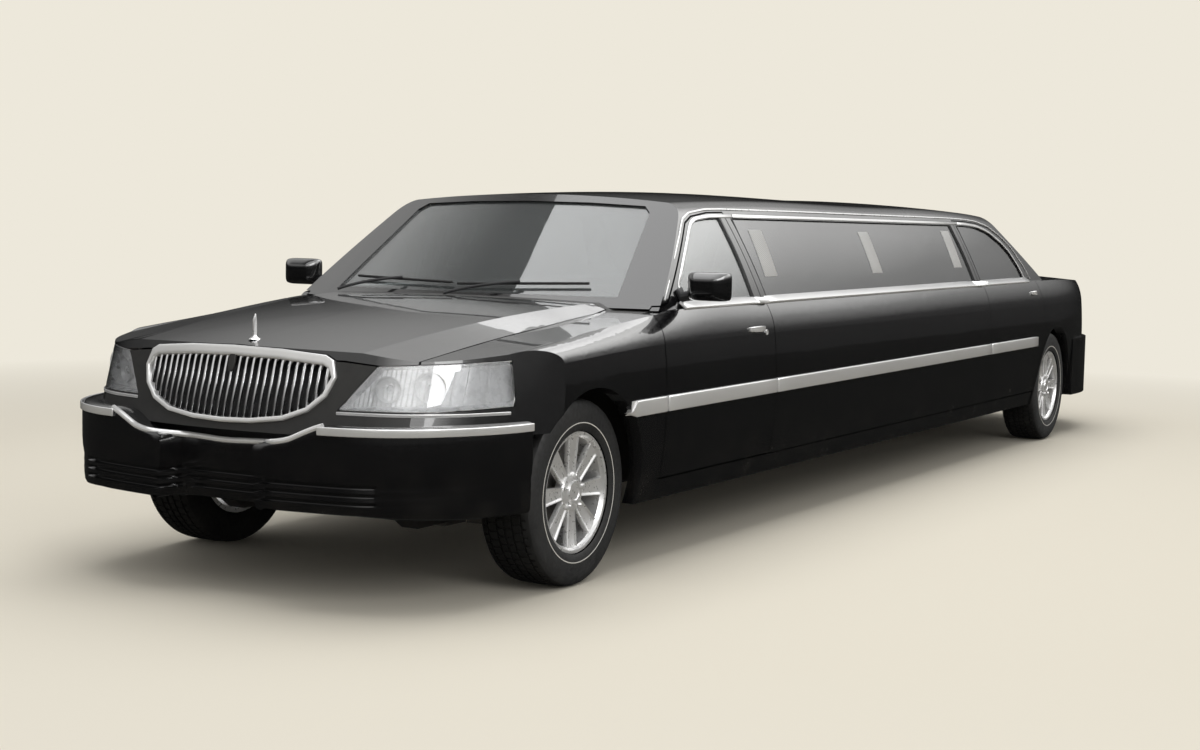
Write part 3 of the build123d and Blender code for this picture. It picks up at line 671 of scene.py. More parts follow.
SURROUND = (
    ("front_door", FRONT_DOOR,
     [(838, 1030), (854, 1104), (1158, 1345), (1230, 1371), (1362, 1383), (1583, 1386)]),
    ("stretch", "body", [(1593, 1386), (2400, 1388), (3200, 1388), (4000, 1388), (4633, 1388)]),
    ("rear_door", REAR_DOOR,
     [(4643, 1388), (4802, 1385), (5003, 1375), (5195, 1345), (5367, 1283), (5474, 1219), (5556, 1114),
      (5582, 1052)]),
)
for part, body, path in SURROUND:
    bar = ribbon(f"window_surround_{part}", smooth_path(path, 0.3, 5), 0.014, 0.004)
    both_sides(bar, f"window_surround_{part}", body, TRIM)

GUTTER = [(700, 1040), (1112, 1366), (1200, 1394), (1360, 1411), (1512, 1415), (2500, 1417), (3500, 1417),
          (4560, 1417), (4792, 1414), (5002, 1406), (5226, 1380), (5410, 1324), (5544, 1256), (5666, 1128),
          (5712, 1052)]
bar = ribbon("roof_gutter", smooth_path(GUTTER, 0.2, 5), 0.007, 0.004)
both_sides(bar, "roof_gutter", "body", ALLOY)

SEALS = (
    ("front_window_rear_seal", [(1466, 1376), (1489, 1200), (1511, 1030)], FRONT_DOOR),
    ("rear_window_front_seal", [(4608, 1378), (4648, 1210), (4688, 1046)], REAR_DOOR),
    ("long_window_front_seal", [(1572, 1377), (1608, 1200), (1645, 1034)], "body"),
    ("long_window_rear_seal", [(4503, 1377), (4541, 1210), (4578, 1044)], "body"),
)
for name, path, body in SEALS:
    bar = ribbon(name, smooth_path(path, 0.4, 6), 0.012, 0.003)
    both_sides(bar, name, body, RUBBER_TRIM)

# pale lamp panels behind the long side glass
for i, (y, low, high) in enumerate(((1778, 1120, 1328), (3095, 1120, 1328), (4380, 1135, 1343))):
    panel = ribbon("lamp_panel", [(y, z) for z in (low, 1180, 1240, 1300, high)], 0.135, 0.002, 0.5)
    both_sides(panel, f"side_lamp_panel_{i + 1}", "body", LAMP_PANEL)


def handle(stem, y, z, length, body):
    """Pull handle over a dark cup."""
    x = side_x(fy(y), z)
    cup = block(stem + "_cup", (x - 0.001, fy(y), z - 0.004), (0.006, length * 0.92, 0.046), 0.0028, 3)
    both_sides(cup, stem + "_cup", body, SOFT_BLACK)
    grip = block(stem, (x + 0.012, fy(y), z + 0.006), (0.016, length, 0.026), 0, cuts=2)
    edit(grip, lambda c: abs(c.y - fy(y)) > length * 0.4)
    stretch((1, 1, 0.75), (x, fy(y), z + 0.006))
    shift((-0.012, 0, 0))
    close()
    rounded(grip, 0.003, 2)
    modify(grip, "SUBSURF", levels=2, render_levels=2)
    both_sides(grip, stem, body, TRIM)


handle("front_handle", 1.405, 0.897, 0.15, FRONT_DOOR)
handle("rear_handle", 5.56, 0.963, 0.10, REAR_DOOR)
LOCK_Y, LOCK_Z = fy(1.50), 0.885
bpy.ops.mesh.primitive_cylinder_add(vertices=24, radius=0.012, depth=0.006, rotation=(0, math.pi / 2, 0),
                                    location=(side_x(LOCK_Y, LOCK_Z) + 0.001, LOCK_Y, LOCK_Z))
lock = settle(named("front_lock"))
sunk(lock, 0.004, 0.0015, 0)
rounded(lock, 0.0008, 2)
both_sides(lock, "front_lock", FRONT_DOOR, TRIM)

# ---------------------------------------------------------------- headlamps
LAMP_LOW = ((0.452, 0.688), (0.760, 0.688), (0.905, 0.700))
LAMP_HIGH = ((0.452, 0.690), (0.565, 0.842), (0.905, 0.862))
LAMP_IN, LAMP_WIDE = 0.458, 0.443


def lamp_face(x, z):
    """Y and z of the lamp's face at x; a point over its top edge comes down to the edge."""
    for down in range(40):
        low = z - 0.003 * down
        hit = LAMP_TREE.ray_cast(Vector((x, AHEAD_OF_ALL, low)), Vector((0, 1, 0)))[0]
        if hit is not None:
            return hit.y, low
    return fy(-0.6), z


def lamp_sheet(name, columns, rows, depth, edge_depth, flute=0.0):
    """Grid that follows the lamp's face, set back by depth, its rim by edge_depth."""
    bpy.ops.mesh.primitive_grid_add(x_subdivisions=columns, y_subdivisions=rows, size=1.0)
    obj = named(name)
    for v in obj.data.vertices:
        a, b = v.co.x + 0.5, v.co.y + 0.5
        x = LAMP_IN + LAMP_WIDE * a
        low, high = between(LAMP_LOW, x) + 0.004, between(LAMP_HIGH, x) - 0.004
        rim = min(a, 1 - a) * columns < 0.5 or min(b, 1 - b) * rows < 0.5
        y, z = lamp_face(x, low + max(high - low, 0.001) * b)
        back = edge_depth if rim else depth + flute * math.cos(a * columns * math.pi)
        v.co = (x - (0.3 * back if x > 0.8 else 0), y + back, z)
    face_way(obj, y=-1)
    return obj


lens = lamp_sheet("headlamp_lens", 40, 12, 0.001, 0.002)
modify(lens, "SOLIDIFY", thickness=0.003, offset=-1.0)
left_lens, _ = both_sides(lens, "headlamp_lens", "body", CLEAR)
# the reflector tray and bowls carry the lamp_reflector finish's painted reflection
tray = lamp_sheet("headlamp_tray", 56, 12, 0.052, 0.007, 0.0025)
modify(tray, "SOLIDIFY", thickness=0.002, offset=-1.0)
both_sides(tray, "headlamp_tray", "body", REFLECTOR)
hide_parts("headlamps")
for i, (x, z, r) in enumerate(((0.600, 0.762, 0.044), (0.722, 0.770, 0.052))):
    y = front_y(x, z, LAMP_TREE)
    middle = (x, y + 0.030, z)
    bowl = turned_ring("headlamp_bowl", middle,
                       [(0.030, 0.004), (0.024, r * 0.55), (0.010, r * 0.85), (-0.004, r),
                        (-0.004, r + 0.004), (0.014, r * 0.9), (0.030, r * 0.6), (0.036, 0.004)], "Y", 40)
    edit(bowl)
    turn_by(0.42, "Z", middle)
    close()
    both_sides(bowl, f"headlamp_bowl_{i + 1}", "body", REFLECTOR)
    bpy.ops.mesh.primitive_uv_sphere_add(segments=24, ring_count=12, radius=0.016, location=(x, y + 0.042, z))
    bulb = settle(named("bulb"))
    edit(bulb, lambda c: c.y > y + 0.044)
    stretch((0.6, 1.3, 0.6), (x, y + 0.044, z))
    close()
    both_sides(bulb, f"headlamp_bulb_{i + 1}", "body", CLEAR)

# ---------------------------------------------------------------- grille
GRILLE_TOP = ((0.0, 0.892), (0.200, 0.888), (0.380, 0.874), (0.412, 0.858), (0.432, 0.800))
GRILLE_FOOT = ((0.0, 0.628), (0.130, 0.632), (0.260, 0.648), (0.350, 0.682), (0.408, 0.735), (0.432, 0.800))
GRILLE_EDGE = ([(-x, z) for x, z in GRILLE_TOP[:0:-1]] + list(GRILLE_TOP) + list(GRILLE_FOOT[-2::-1])
               + [(-x, z) for x, z in GRILLE_FOOT[1:-1]])
GRILLE_MID, GRILLE_BOW = 0.762, 0.24
RIM_TOP, RIM_SIDE = 0.034, 0.016
BARS, BAR_REACH, BAR_LEAN = 27, 0.392, -0.2915


def grille_y(x, z):
    """Face of the grille's surround, which leans and bows with the nose."""
    return fy(-0.890 + (z - GRILLE_MID) * 0.30 + GRILLE_BOW * x * x)


def grille_sheet(name, place):
    """Flat sheet with the grille's outline, each corner (x, z) put where place says."""
    bpy.ops.mesh.primitive_circle_add(vertices=len(GRILLE_EDGE), radius=0.4, fill_type="NGON")
    obj = named(name)
    for v, corner in zip(obj.data.vertices, GRILLE_EDGE):
        v.co = place(*corner)
    return obj


backing = grille_sheet("grille_backing", lambda x, z: (
    x * 0.95, fy(-0.838) + (z - GRILLE_MID) * 0.3 + GRILLE_BOW * x * x, GRILLE_MID + (z - GRILLE_MID) * 0.95))
edit(backing)
bpy.ops.mesh.inset(thickness=0.02, depth=0)
close()
modify(backing, "SOLIDIFY", thickness=0.006, offset=0.0)
rounded(backing, 0.002, 2)
dress(backing, "body", SOFT_BLACK)

rim = grille_sheet("grille_surround", lambda x, z: (x, 0, z))
edit(rim)
bpy.ops.mesh.inset(thickness=RIM_SIDE, depth=0)
bpy.ops.mesh.delete(type="FACE")
close()
for v in rim.data.vertices:
    on_edge = any(abs(v.co.x - x) < 1e-4 and abs(v.co.z - z) < 1e-4 for x, z in GRILLE_EDGE)
    if v.co.z > 0.83 and not on_edge:
        v.co.z -= RIM_TOP - RIM_SIDE
edit(rim)
bpy.ops.mesh.subdivide(number_cuts=2)
close()
for v in rim.data.vertices:
    v.co.y = grille_y(v.co.x, v.co.z)
face_way(rim, y=-1)
modify(rim, "SOLIDIFY", thickness=0.030, offset=-1.0)
rounded(rim, 0.006, 3, 0.9)
dress(rim, "body", TRIM)
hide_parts("grille")
bars = []
for i in range(BARS):
    x = -BAR_REACH + 2 * BAR_REACH * i / (BARS - 1)
    high = between(GRILLE_TOP, abs(x)) - RIM_TOP + 0.004
    low = between(GRILLE_FOOT, abs(x)) + RIM_SIDE - 0.004
    mid = (high + low) / 2
    bars.append(block("bar", (x, grille_y(x, mid) + 0.024, mid), (0.0105, 0.026, (high - low) * 1.044),
                      0.0035, 2, (BAR_LEAN, 0, 0)))
dress(joined(bars, "grille_bars"), "body", CHROME)

BADGE_Z = 0.838
tablet = block("grille_badge_blank", (0, grille_y(0, BADGE_Z) + 0.008, BADGE_Z), (0.034, 0.012, 0.082), 0,
               cuts=1, turned=(-0.29, 0, 0))
edit(tablet, lambda c: abs(c.z - BADGE_Z) > 0.03)
stretch((0.5, 1, 1), (0, 0, BADGE_Z))
close()
rounded(tablet, 0.003, 2)
modify(tablet, "SUBSURF", levels=2, render_levels=2)
dress(tablet, "body", FRAME_BLACK)

# hood spear, a plain blade on a turned foot
SPEAR_Y = fy(-0.742)
hood_top = FRONT_TREE.ray_cast(Vector((0, SPEAR_Y, 1.4)), Vector((0, 0, -1)))[0]
spear_z = hood_top.z if hood_top is not None else 0.909
foot = turned_ring("spear_foot", (0, 0, 0), [(0.0, 0.004), (0.0, 0.019), (0.003, 0.018), (0.007, 0.010),
                                             (0.013, 0.005), (0.013, 0.003)], "X", 32)
edit(foot)
turn_by(math.pi / 2, "Y", (0, 0, 0))
stretch((1, 1.5, 1), (0, 0, 0))
close()
if max(v.co.z for v in foot.data.vertices) < 0.005:
    edit(foot)
    stretch((1, 1, -1), (0, 0, 0))
    agree()
    close()
edit(foot)
shift((0, SPEAR_Y, spear_z))
close()
dress(foot, "hood_body", CHROME)
blade = block("spear_blade", (0, SPEAR_Y, spear_z + 0.048), (0.006, 0.016, 0.085), 0, cuts=3)
edit(blade, lambda c: c.z > spear_z + 0.07)
stretch((0.45, 0.2, 1), (0, SPEAR_Y + 0.004, spear_z + 0.08))
close()
rounded(blade, 0.0015, 2)
dress(blade, "hood_body", ALLOY)


# ---------------------------------------------------------------- front bumper and chassis
def fence(name, points, z0, z1, proud, round_to=0.45):
    """Upright band along plan points (x, y), z0 to z1 high, on the outer side of the line."""
    tall = z1 - z0
    a, b = Vector((*points[0], (z0 + z1) / 2)), Vector((*points[1], (z0 + z1) / 2))
    head = math.atan2((b - a).y, (b - a).x)
    bpy.ops.mesh.primitive_plane_add(size=1.0, location=(a + b) / 2, rotation=(math.pi / 2, 0, head))
    obj = named(name)
    obj.scale = ((b - a).length, tall, 1)
    settle(obj)
    edit(obj, lambda c: (c - (a + b) / 2).dot(b - a) > 0)
    for p, q in zip(points[1:], points[2:]):
        bpy.ops.mesh.extrude_region_move(TRANSFORM_OT_translate={"value": (q[0] - p[0], q[1] - p[1], 0)})
    close()
    face_way(obj, x=1, y=-1)
    modify(obj, "SOLIDIFY", thickness=proud, offset=1.0)
    return rounded(obj, min(proud, tall) * round_to, 3)


# the bumper's skin is a pressed cover that tucks under at the foot and dips below the grille
BUMPER_Z, BUMPER_WIDE, BUMPER_END = 0.47, 0.90, fy(-0.392)
COVER_TOP, COVER_FOOT = 0.648, 0.345
DIP = ((0.0, 0.560), (0.18, 0.568), (0.34, 0.592), (0.42, 0.628), (0.47, COVER_TOP), (2.0, COVER_TOP))
FOOT = ((0.0, COVER_FOOT), (0.60, COVER_FOOT), (0.90, 0.325), (2.0, 0.290))
GROOVES = (0.387, 0.416, 0.445)
GROOVE_SPANS = ((0.0, 0.152), (0.188, 0.655))
GROOVE_DEEP = 0.022


def bumper_line(xs, tree):
    """Plan of the bumper's face at xs across the front, then back along its side to the wheel arch."""
    line = [(x, front_y(x, BUMPER_Z, tree)) for x in xs]
    y = line[-1][1] + 0.03
    while y < BUMPER_END:
        line.append((side_x(y, BUMPER_Z, BUMPER_TREE, 0.9), y))
        y += 0.045
    return line


def cover_rows(x):
    """Height and set-back of each row of the cover at x, foot first."""
    foot, top = between(FOOT, x), between(DIP, x)
    grooved = any(a <= x <= b for a, b in GROOVE_SPANS)
    rows = [(foot, 0.075), (foot, 0.034), (foot + 0.006, 0.016), (foot + 0.018, 0.010)]
    for z in GROOVES:
        deep = GROOVE_DEEP if grooved else 0.0
        rows += [(z - 0.009, 0.007), (z - 0.006, 0.007 + deep), (z + 0.006, 0.007 + deep), (z + 0.009, 0.006)]
    rows += [(0.480, 0.002), (0.515, 0.0), (top - 0.030, 0.0), (top - 0.012, 0.003), (top - 0.003, 0.011),
             (top, 0.022), (top - 0.001, 0.060), (top - 0.004, 0.095)]
    return rows


groove_ends = [x + d for span in GROOVE_SPANS for x in span if x > 0 for d in (-0.006, 0.006)]
plan = bumper_line(sorted(spaced(0.0, BUMPER_WIDE, 26) + groove_ends), BUMPER_TREE)
columns, rows = len(plan) - 1, len(cover_rows(0.0)) - 1
bpy.ops.mesh.primitive_grid_add(x_subdivisions=columns, y_subdivisions=rows, size=1.0)
cover = named("bumper_cover")
for v in cover.data.vertices:
    i, j = round((v.co.x + 0.5) * columns), round((v.co.y + 0.5) * rows)
    before, after = Vector(plan[max(i - 1, 0)]), Vector(plan[min(i + 1, columns)])
    along = (after - before).normalized() if i else Vector((1, 0))
    z, back = cover_rows(plan[i][0])[j]
    v.co = (plan[i][0] - along.y * back, plan[i][1] + along.x * back, z)
heal(cover)
face_way(cover, y=-1)
modify(cover, "MIRROR", merge_threshold=0.0005)
modify(cover, "SOLIDIFY", thickness=0.004, offset=-1.0)
dress(cover, "body", PAINT, angle=0.5)
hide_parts("front_bumper")

strip = fence("bumper_strip", bumper_line(spaced(0.46, BUMPER_WIDE, 22), FRONT_TREE),
              0.616, 0.6445, 0.007, 0.9)
both_sides(strip, "bumper_strip", "body", TRIM)
half_dip = [(x, front_y(x, BUMPER_Z, BUMPER_TREE) + 0.011, between(DIP, x) - 0.002)
            for x in (0.474, 0.448, 0.42, 0.38, 0.34, 0.26, 0.18, 0.09)]
dip_middle = [(0, half_dip[-1][1] - 0.001, between(DIP, 0) - 0.002)]
whole_dip = half_dip + dip_middle + [(-x, y, z) for x, y, z in reversed(half_dip)]
dress(rod("bumper_dip_trim", whole_dip, 0.0105), "body", TRIM)
line = [(x, front_y(x, 0.6795, NOSE_TREE) - 0.0002) for x in spaced(0.452, 0.90, 22)]
filler = fence("lamp_lower_trim", line, 0.674, 0.685, 0.0035)
both_sides(filler, "lamp_lower_trim", "body", TRIM)

# painted shade: dark blocks set behind the bumper's dip fill the gap under the grille where shade falls
SHADE_BLOCK_FOOT = 0.37
for reach, y0, y1, top in ((0.70, -0.80, -0.74, 0.598), (0.52, -0.865, -0.80, 0.545)):
    shade_block = block("bumper_baffle", (0, fy((y0 + y1) / 2), (SHADE_BLOCK_FOOT + top) / 2),
                   (2 * reach, y1 - y0, top - SHADE_BLOCK_FOOT), 0.008, 2)
    dress(shade_block, "body", SOFT_BLACK)

# frame rails, raised over both axles, and their crossmembers
RAIL_LINE = ((-0.88, 0.400), (-0.56, 0.400), (-0.36, 0.259), (5.56, 0.259), (5.72, 0.544), (7.20, 0.544))
RAIL_X = 0.41
for side, way in SIDES:
    bpy.ops.mesh.primitive_plane_add(size=1.0, rotation=(math.pi / 2, 0, 0),
                                     location=(way * RAIL_X, fy(RAIL_LINE[0][0]), RAIL_LINE[0][1]))
    rail = named(f"frame_rail_{side}")
    rail.scale = (0.08, 0.088, 1)
    settle(rail)
    edit(rail)
    for (y0, z0), (y1, z1) in zip(RAIL_LINE, RAIL_LINE[1:]):
        bpy.ops.mesh.extrude_region_move(TRANSFORM_OT_translate={"value": (0, y1 - y0, z1 - z0)})
    bpy.ops.mesh.select_all(action="SELECT")
    agree()
    close()
    rounded(rail, 0.008, 2)
    dress(rail, "body", FRAME_BLACK)
    if side == "left":
        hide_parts("frame_rails")
MEMBERS = ((-0.70, 0.400), (0.70, 0.255), (1.70, 0.255), (2.70, 0.255), (3.70, 0.255), (4.70, 0.255),
           (6.40, 0.540), (7.10, 0.540))
for i, (y, z) in enumerate(MEMBERS):
    member = block(f"crossmember_{i + 1}", (0, fy(y), z), (0.742, 0.08, 0.07), 0.008, 2)
    dress(member, "body", FRAME_BLACK)
    if i == 0:
        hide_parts("crossmembers")


# ---------------------------------------------------------------- wipers and mirrors
def on_screen(x, z, lift):
    """The point of the windshield at x, z, lifted off it."""
    hit = SCREEN_TREE.ray_cast(Vector((x, -4.0, z)), Vector((0, 1, 0)))[0]
    if hit is None:
        return Vector((x, fy(0.56 + (z - 1.035) * 1.35), z + lift))
    return hit + Vector((0, -0.55, 0.83)) * lift


# blade from (x0, z0) to (x1, z1) on the screen, and the x of its arm's pivot
WIPERS = ((-0.05, 0.55, 1.066, 1.084, -0.05), (-0.62, -0.08, 1.080, 1.070, -0.60))
for i, (x0, x1, z0, z1, pivot) in enumerate(WIPERS):
    spine = [on_screen(x0 + (x1 - x0) * t, z0 + (z1 - z0) * t, 0.016) for t in spaced(0, 1, 8)]
    dress(rod(f"wiper_blade_{i + 1}", spine, 0.006), "body", RUBBER_TRIM)
    middle = spine[4]
    pivot_at = Vector((pivot, fy(0.505), 1.040))
    arm = rod(f"wiper_arm_{i + 1}", [pivot_at, pivot_at.lerp(middle, 0.4) + Vector((0, 0, 0.022)),
                                     middle + Vector((0, -0.004, 0.008))], 0.0065)
    dress(arm, "body", SOFT_BLACK)

MIRROR_X, MIRROR_Z = 1.03, 1.099
shell = block("mirror_shell", (MIRROR_X, fy(0.790), MIRROR_Z), (0.186, 0.098, 0.118), 0, cuts=3)
edit(shell, lambda c: c.y < fy(0.775))
stretch((0.80, 0.9, 0.78), (1.02, fy(0.80), 1.095))
close()
edit(shell, lambda c: c.y < fy(0.750))
stretch((0.72, 1, 0.74), (1.02, fy(0.76), 1.095))
close()
modify(shell, "SUBSURF", levels=1, render_levels=1)
edit(shell, lambda c, n: n.y > 0.95, "FACE")
bpy.ops.mesh.inset(thickness=0.006, depth=-0.004)
close()
rounded(shell, 0.002, 2)
modify(shell, "SUBSURF", levels=1, render_levels=1)
stalk = rod("mirror_stalk", [(0.905, fy(0.815), 1.052), (0.925, fy(0.815), 1.056), (0.965, fy(0.812), 1.062),
                             (1.0, fy(0.806), 1.075)], 0.021)
sail = ribbon("mirror_sail", [(812, 1050), (870, 1062)], 0.052, 0.018)
both_sides(sail, "mirror_sail", FRONT_DOOR, SOFT_BLACK, "body_paint")
both_sides(stalk, "mirror_stalk", FRONT_DOOR, SOFT_BLACK, "body_paint")
shells = both_sides(shell, "mirror_shell", FRONT_DOOR, PAINT, angle=1.0)
stand_for(shells, "mirror_{}")

glass = block("mirror_glass", (MIRROR_X, fy(0.8370), MIRROR_Z), (0.160, 0.004, 0.094), 0.0018, 2)
sunk(glass, 0.006, 0.0015)
both_sides(glass, "mirror_glass", FRONT_DOOR, MIRROR)

# ---------------------------------------------------------------- wheels and tyres
# a tyre's section, (along the axle, radius), from its inner bead to the middle of the tread
SIDE_WALL = [(-0.104, 0.2285), (-0.1075, 0.236), (-0.1105, 0.250), (-0.1118, 0.262), (-0.1118, 0.282),
             (-0.1112, 0.300), (-0.1092, 0.318), (-0.1055, 0.332), (-0.100, 0.3405), (-0.090, 0.3455)]
TREAD = [(-0.075, 0.3482), (-0.0745, 0.3415), (-0.0685, 0.3418), (-0.068, 0.3488), (-0.036, 0.3495),
         (-0.0355, 0.3425), (-0.0285, 0.3425), (-0.028, 0.3498), (-0.006, 0.3499), (-0.0055, 0.343)]
TREAD_PITCHES, PITCH_STEPS = 64, 4
TYRE_RADIUS, GROOVE_RADIUS = 0.3499, 0.3435
SPOKES, STUDS = 8, 5


def from_hub(c, hub):
    """Angle and distance of a point from the axle."""
    return math.atan2(c.y - hub[1], c.z - hub[2]), math.hypot(c.y - hub[1], c.z - hub[2])


def tyre(name, hub):
    """One tread pitch is shaped, then copied round the wheel."""
    half = SIDE_WALL + TREAD
    profile = half + [(-a, r) for a, r in reversed(half)]
    bpy.ops.mesh.primitive_plane_add(size=0.01)
    obj = named(name)
    edit(obj)
    bpy.ops.mesh.delete(type="VERT")
    close()
    bm = bmesh.new()
    row = [bm.verts.new((hub[0] + a, hub[1], hub[2] + r)) for a, r in profile]
    for a, b in zip(row, row[1:]):
        bm.edges.new((a, b))
    bm.to_mesh(obj.data)
    bm.free()
    edit(obj)
    bpy.ops.mesh.spin(steps=PITCH_STEPS, angle=math.tau / TREAD_PITCHES, center=hub, axis=(1, 0, 0))
    bpy.ops.mesh.select_all(action="SELECT")
    bpy.ops.mesh.remove_doubles(threshold=0.00001)
    agree()
    close()
    if sum((f.center - Vector((f.center.x, hub[1], hub[2]))).dot(f.normal) for f in obj.data.polygons) < 0:
        obj.data.flip_normals()
    step = math.tau / TREAD_PITCHES / PITCH_STEPS
    angles = sorted({round(from_hub(f.center, hub)[0], 4) for f in obj.data.polygons})
    first_slot, second_slot = angles[0], angles[len(angles) // 2]

    def slotted(c, n):
        """Cross slots: one at the shoulders and the middle, the next on the ribs between them."""
        angle, r = from_hub(c, hub)
        off = abs(c.x - hub[0])
        at_first, at_second = abs(angle - first_slot) < step / 2, abs(angle - second_slot) < step / 2
        return r > GROOVE_RADIUS and ((at_first and (off > 0.070 or off < 0.028))
                                      or (at_second and 0.03 < off < 0.07))

    edit(obj, slotted, "FACE")
    bpy.ops.mesh.extrude_region_shrink_fatten(TRANSFORM_OT_shrink_fatten={"value": -0.0055})
    bpy.ops.mesh.select_all(action="SELECT")
    bpy.ops.mesh.spin(steps=TREAD_PITCHES, dupli=True, angle=math.tau, center=hub, axis=(1, 0, 0))
    bpy.ops.mesh.select_all(action="SELECT")
    bpy.ops.mesh.remove_doubles(threshold=0.0002)
    agree()
    close()
    for v in obj.data.vertices:
        r = from_hub(v.co, hub)[1]
        if r > TYRE_RADIUS:
            pull = TYRE_RADIUS / r
            v.co.y, v.co.z = hub[1] + (v.co.y - hub[1]) * pull, hub[2] + (v.co.z - hub[2]) * pull
    return obj


def road_wheel(name, hub):
    """Rim, hub cap and spokes, each spoke a raised border round a sunk middle."""
    rim = turned_ring("rim", hub, [(-0.100, 0.2262), (-0.100, 0.2080), (0.020, 0.2030), (0.082, 0.2050),
                                   (0.0900, 0.2120), (0.0975, 0.2150), (0.0985, 0.2200), (0.0985, 0.2262)],
                      "X", 96)
    cap = turned_ring("cap", hub,
                      [(0.040, 0.004), (0.040, 0.062), (0.074, 0.072), (0.082, 0.068), (0.086, 0.046),
                       (0.0945, 0.042), (0.0945, 0.030), (0.0915, 0.027), (0.0915, 0.004)], "X", 64)
    spoke = block("spoke", (hub[0] + 0.068, hub[1], hub[2] + 0.137), (0.024, 0.046, 0.146), 0)
    edit(spoke, lambda c: c.z > hub[2] + 0.2)
    stretch((1, 1.5, 1), (hub[0], hub[1], hub[2] + 0.21))
    shift((0.007, 0, 0))
    close()
    edit(spoke, lambda c, n: n.x > 0.9, "FACE")
    bpy.ops.mesh.inset(thickness=0.010, depth=0)
    shift((-0.007, 0, 0))
    close()
    rounded(spoke, 0.0028, 2)
    edit(spoke)
    bpy.ops.mesh.spin(steps=SPOKES, dupli=True, angle=math.tau, center=hub, axis=(1, 0, 0))
    close()
    return heal(joined((cap, spoke, rim), name), 0.0001)


for end, hub in (("front", (0.805, FRONT_AXLE, HUB_Z)), ("rear", (0.833, REAR_AXLE, HUB_Z))):
    body = f"wheel_{end}_{{}}_body"
    wheels = both_sides(road_wheel("road_wheel", hub), f"wheel_{end}_detail", body, ALLOY)
    stand_for(wheels, f"wheel_{end}_{{}}")
    tyres = both_sides(tyre("tyre_tread", hub), f"tyre_{end}_detail", body, RUBBER, angle=0.5)
    stand_for(tyres, f"tyre_{end}_{{}}")
    ring = turned_ring("white_ring", hub,
                       [(0.1105, 0.2572), (0.1123, 0.2580), (0.1123, 0.2606), (0.1112, 0.2616)], "X", 96)
    both_sides(ring, f"white_ring_{end}", body, WHITEWALL)
    disc = turned_ring("brake_disc", (hub[0] - 0.001, hub[1], hub[2]),
                       [(-0.008, 0.082), (-0.008, 0.148), (0.010, 0.148), (0.010, 0.082), (0.018, 0.078),
                        (0.018, 0.046), (0.014, 0.044)], "X", 64)
    rounded(disc, 0.001, 2)
    both_sides(disc, f"brake_disc_{end}", body, CAST)
    for i in range(STUDS):
        a = math.tau * i / STUDS + 0.3
        at = (hub[0] + 0.0905, hub[1] + 0.062 * math.cos(a), hub[2] + 0.062 * math.sin(a))
        bpy.ops.mesh.primitive_cylinder_add(vertices=6, radius=0.009, depth=0.012,
                                            rotation=(a, math.pi / 2, 0), location=at)
        nut = settle(named("nut"))
        rounded(nut, 0.0015, 2)
        both_sides(nut, f"cap_stud_{end}_{i + 1}", body, ALLOY)

# ---------------------------------------------------------------- tail
lid_face = max(tail_y(0, 0.79), tail_y(0.14, 0.79), tail_y(0, 0.75))
plate = block("plate_blank", (0, lid_face + 0.004, 0.785), (0.305, 0.004, 0.152), 0.0015, 2)
edit(plate, lambda c, n: n.y > 0.9, "FACE")
bpy.ops.mesh.inset(thickness=0.008, depth=0.0)
bpy.ops.mesh.inset(thickness=0.001, depth=-0.001)
close()
dress(plate, "trunk_lid_body", WHITEWALL, "alloy")
LID_RAIL_Z, REAR_LINE_Z = 0.905, 0.604
rail = [(x, tail_y(x, LID_RAIL_Z) + 0.004, LID_RAIL_Z) for x in spaced(-0.42, 0.42, 12)]
dress(rod("lid_handle_rail", rail, 0.009), "trunk_lid_body", CHROME)
for side, way in SIDES:
    line = [(way * x, tail_y(way * x, 0.60) - 0.0065, REAR_LINE_Z) for x in spaced(0.02, 0.80, 16)]
    dress(rod(f"rear_bumper_line_{side}", line, 0.006), "body", CHROME)
tip = turned_ring("exhaust_tip", (0.41, fy(7.39), 0.4697),
                  [(-0.09, 0.0335), (-0.09, 0.0345), (0.045, 0.036), (0.048, 0.034), (0.045, 0.032),
                   (-0.05, 0.0305)], "Y", 40)
dress(tip, "body", CHROME, "exhaust_steel")

# ---------------------------------------------------------------- cabin
SWELL_FRAMES = 20


def cushion(name, centre, size, lean=0.0, puff=0.014):
    obj = block(name, centre, tuple(v - 0.6 * puff for v in size), min(size) * 0.22, 3, cuts=1)
    modify(obj, "REMESH", mode="VOXEL", voxel_size=0.012)
    rest = [v.co.copy() for v in obj.data.vertices]
    wake(obj)
    m = obj.modifiers.new("swell", "CLOTH")
    m.settings.use_pressure = True
    m.settings.uniform_pressure_force = 4.0
    m.settings.effector_weights.gravity = 0.0
    m.settings.quality = 4
    m.point_cache.frame_start, m.point_cache.frame_end = 1, SWELL_FRAMES
    scene = bpy.context.scene
    for frame_no in range(1, SWELL_FRAMES + 1):
        scene.frame_set(frame_no)
    bpy.ops.object.modifier_apply(modifier=m.name)
    scene.frame_set(1)
    for v, at in zip(obj.data.vertices, rest):
        move = v.co - at
        if move.length > puff:
            v.co = at + move.normalized() * puff
    edit(obj)
    if lean:
        turn_by(lean, "X", centre)
    close()
    bpy.ops.object.select_all(action="DESELECT")
    return obj


def copied(obj, name, way):
    wake(obj)
    bpy.ops.object.duplicate()
    other = named(name)
    edit(other)
    shift(way)
    close()
    return other


def pad(obj, name):
    obj.name = obj.data.name = name
    dress(obj, "body", LEATHER, angle=1.2)


def pad_pair(obj, stem):
    """A padded piece and its copy on the other side."""
    other = twin(obj, "other")
    pad(obj, stem + "_left")
    pad(other, stem + "_right")


def plinth(name, centre, size, bevel, finish):
    dress(block(name, centre, size, bevel, 3), "body", finish)


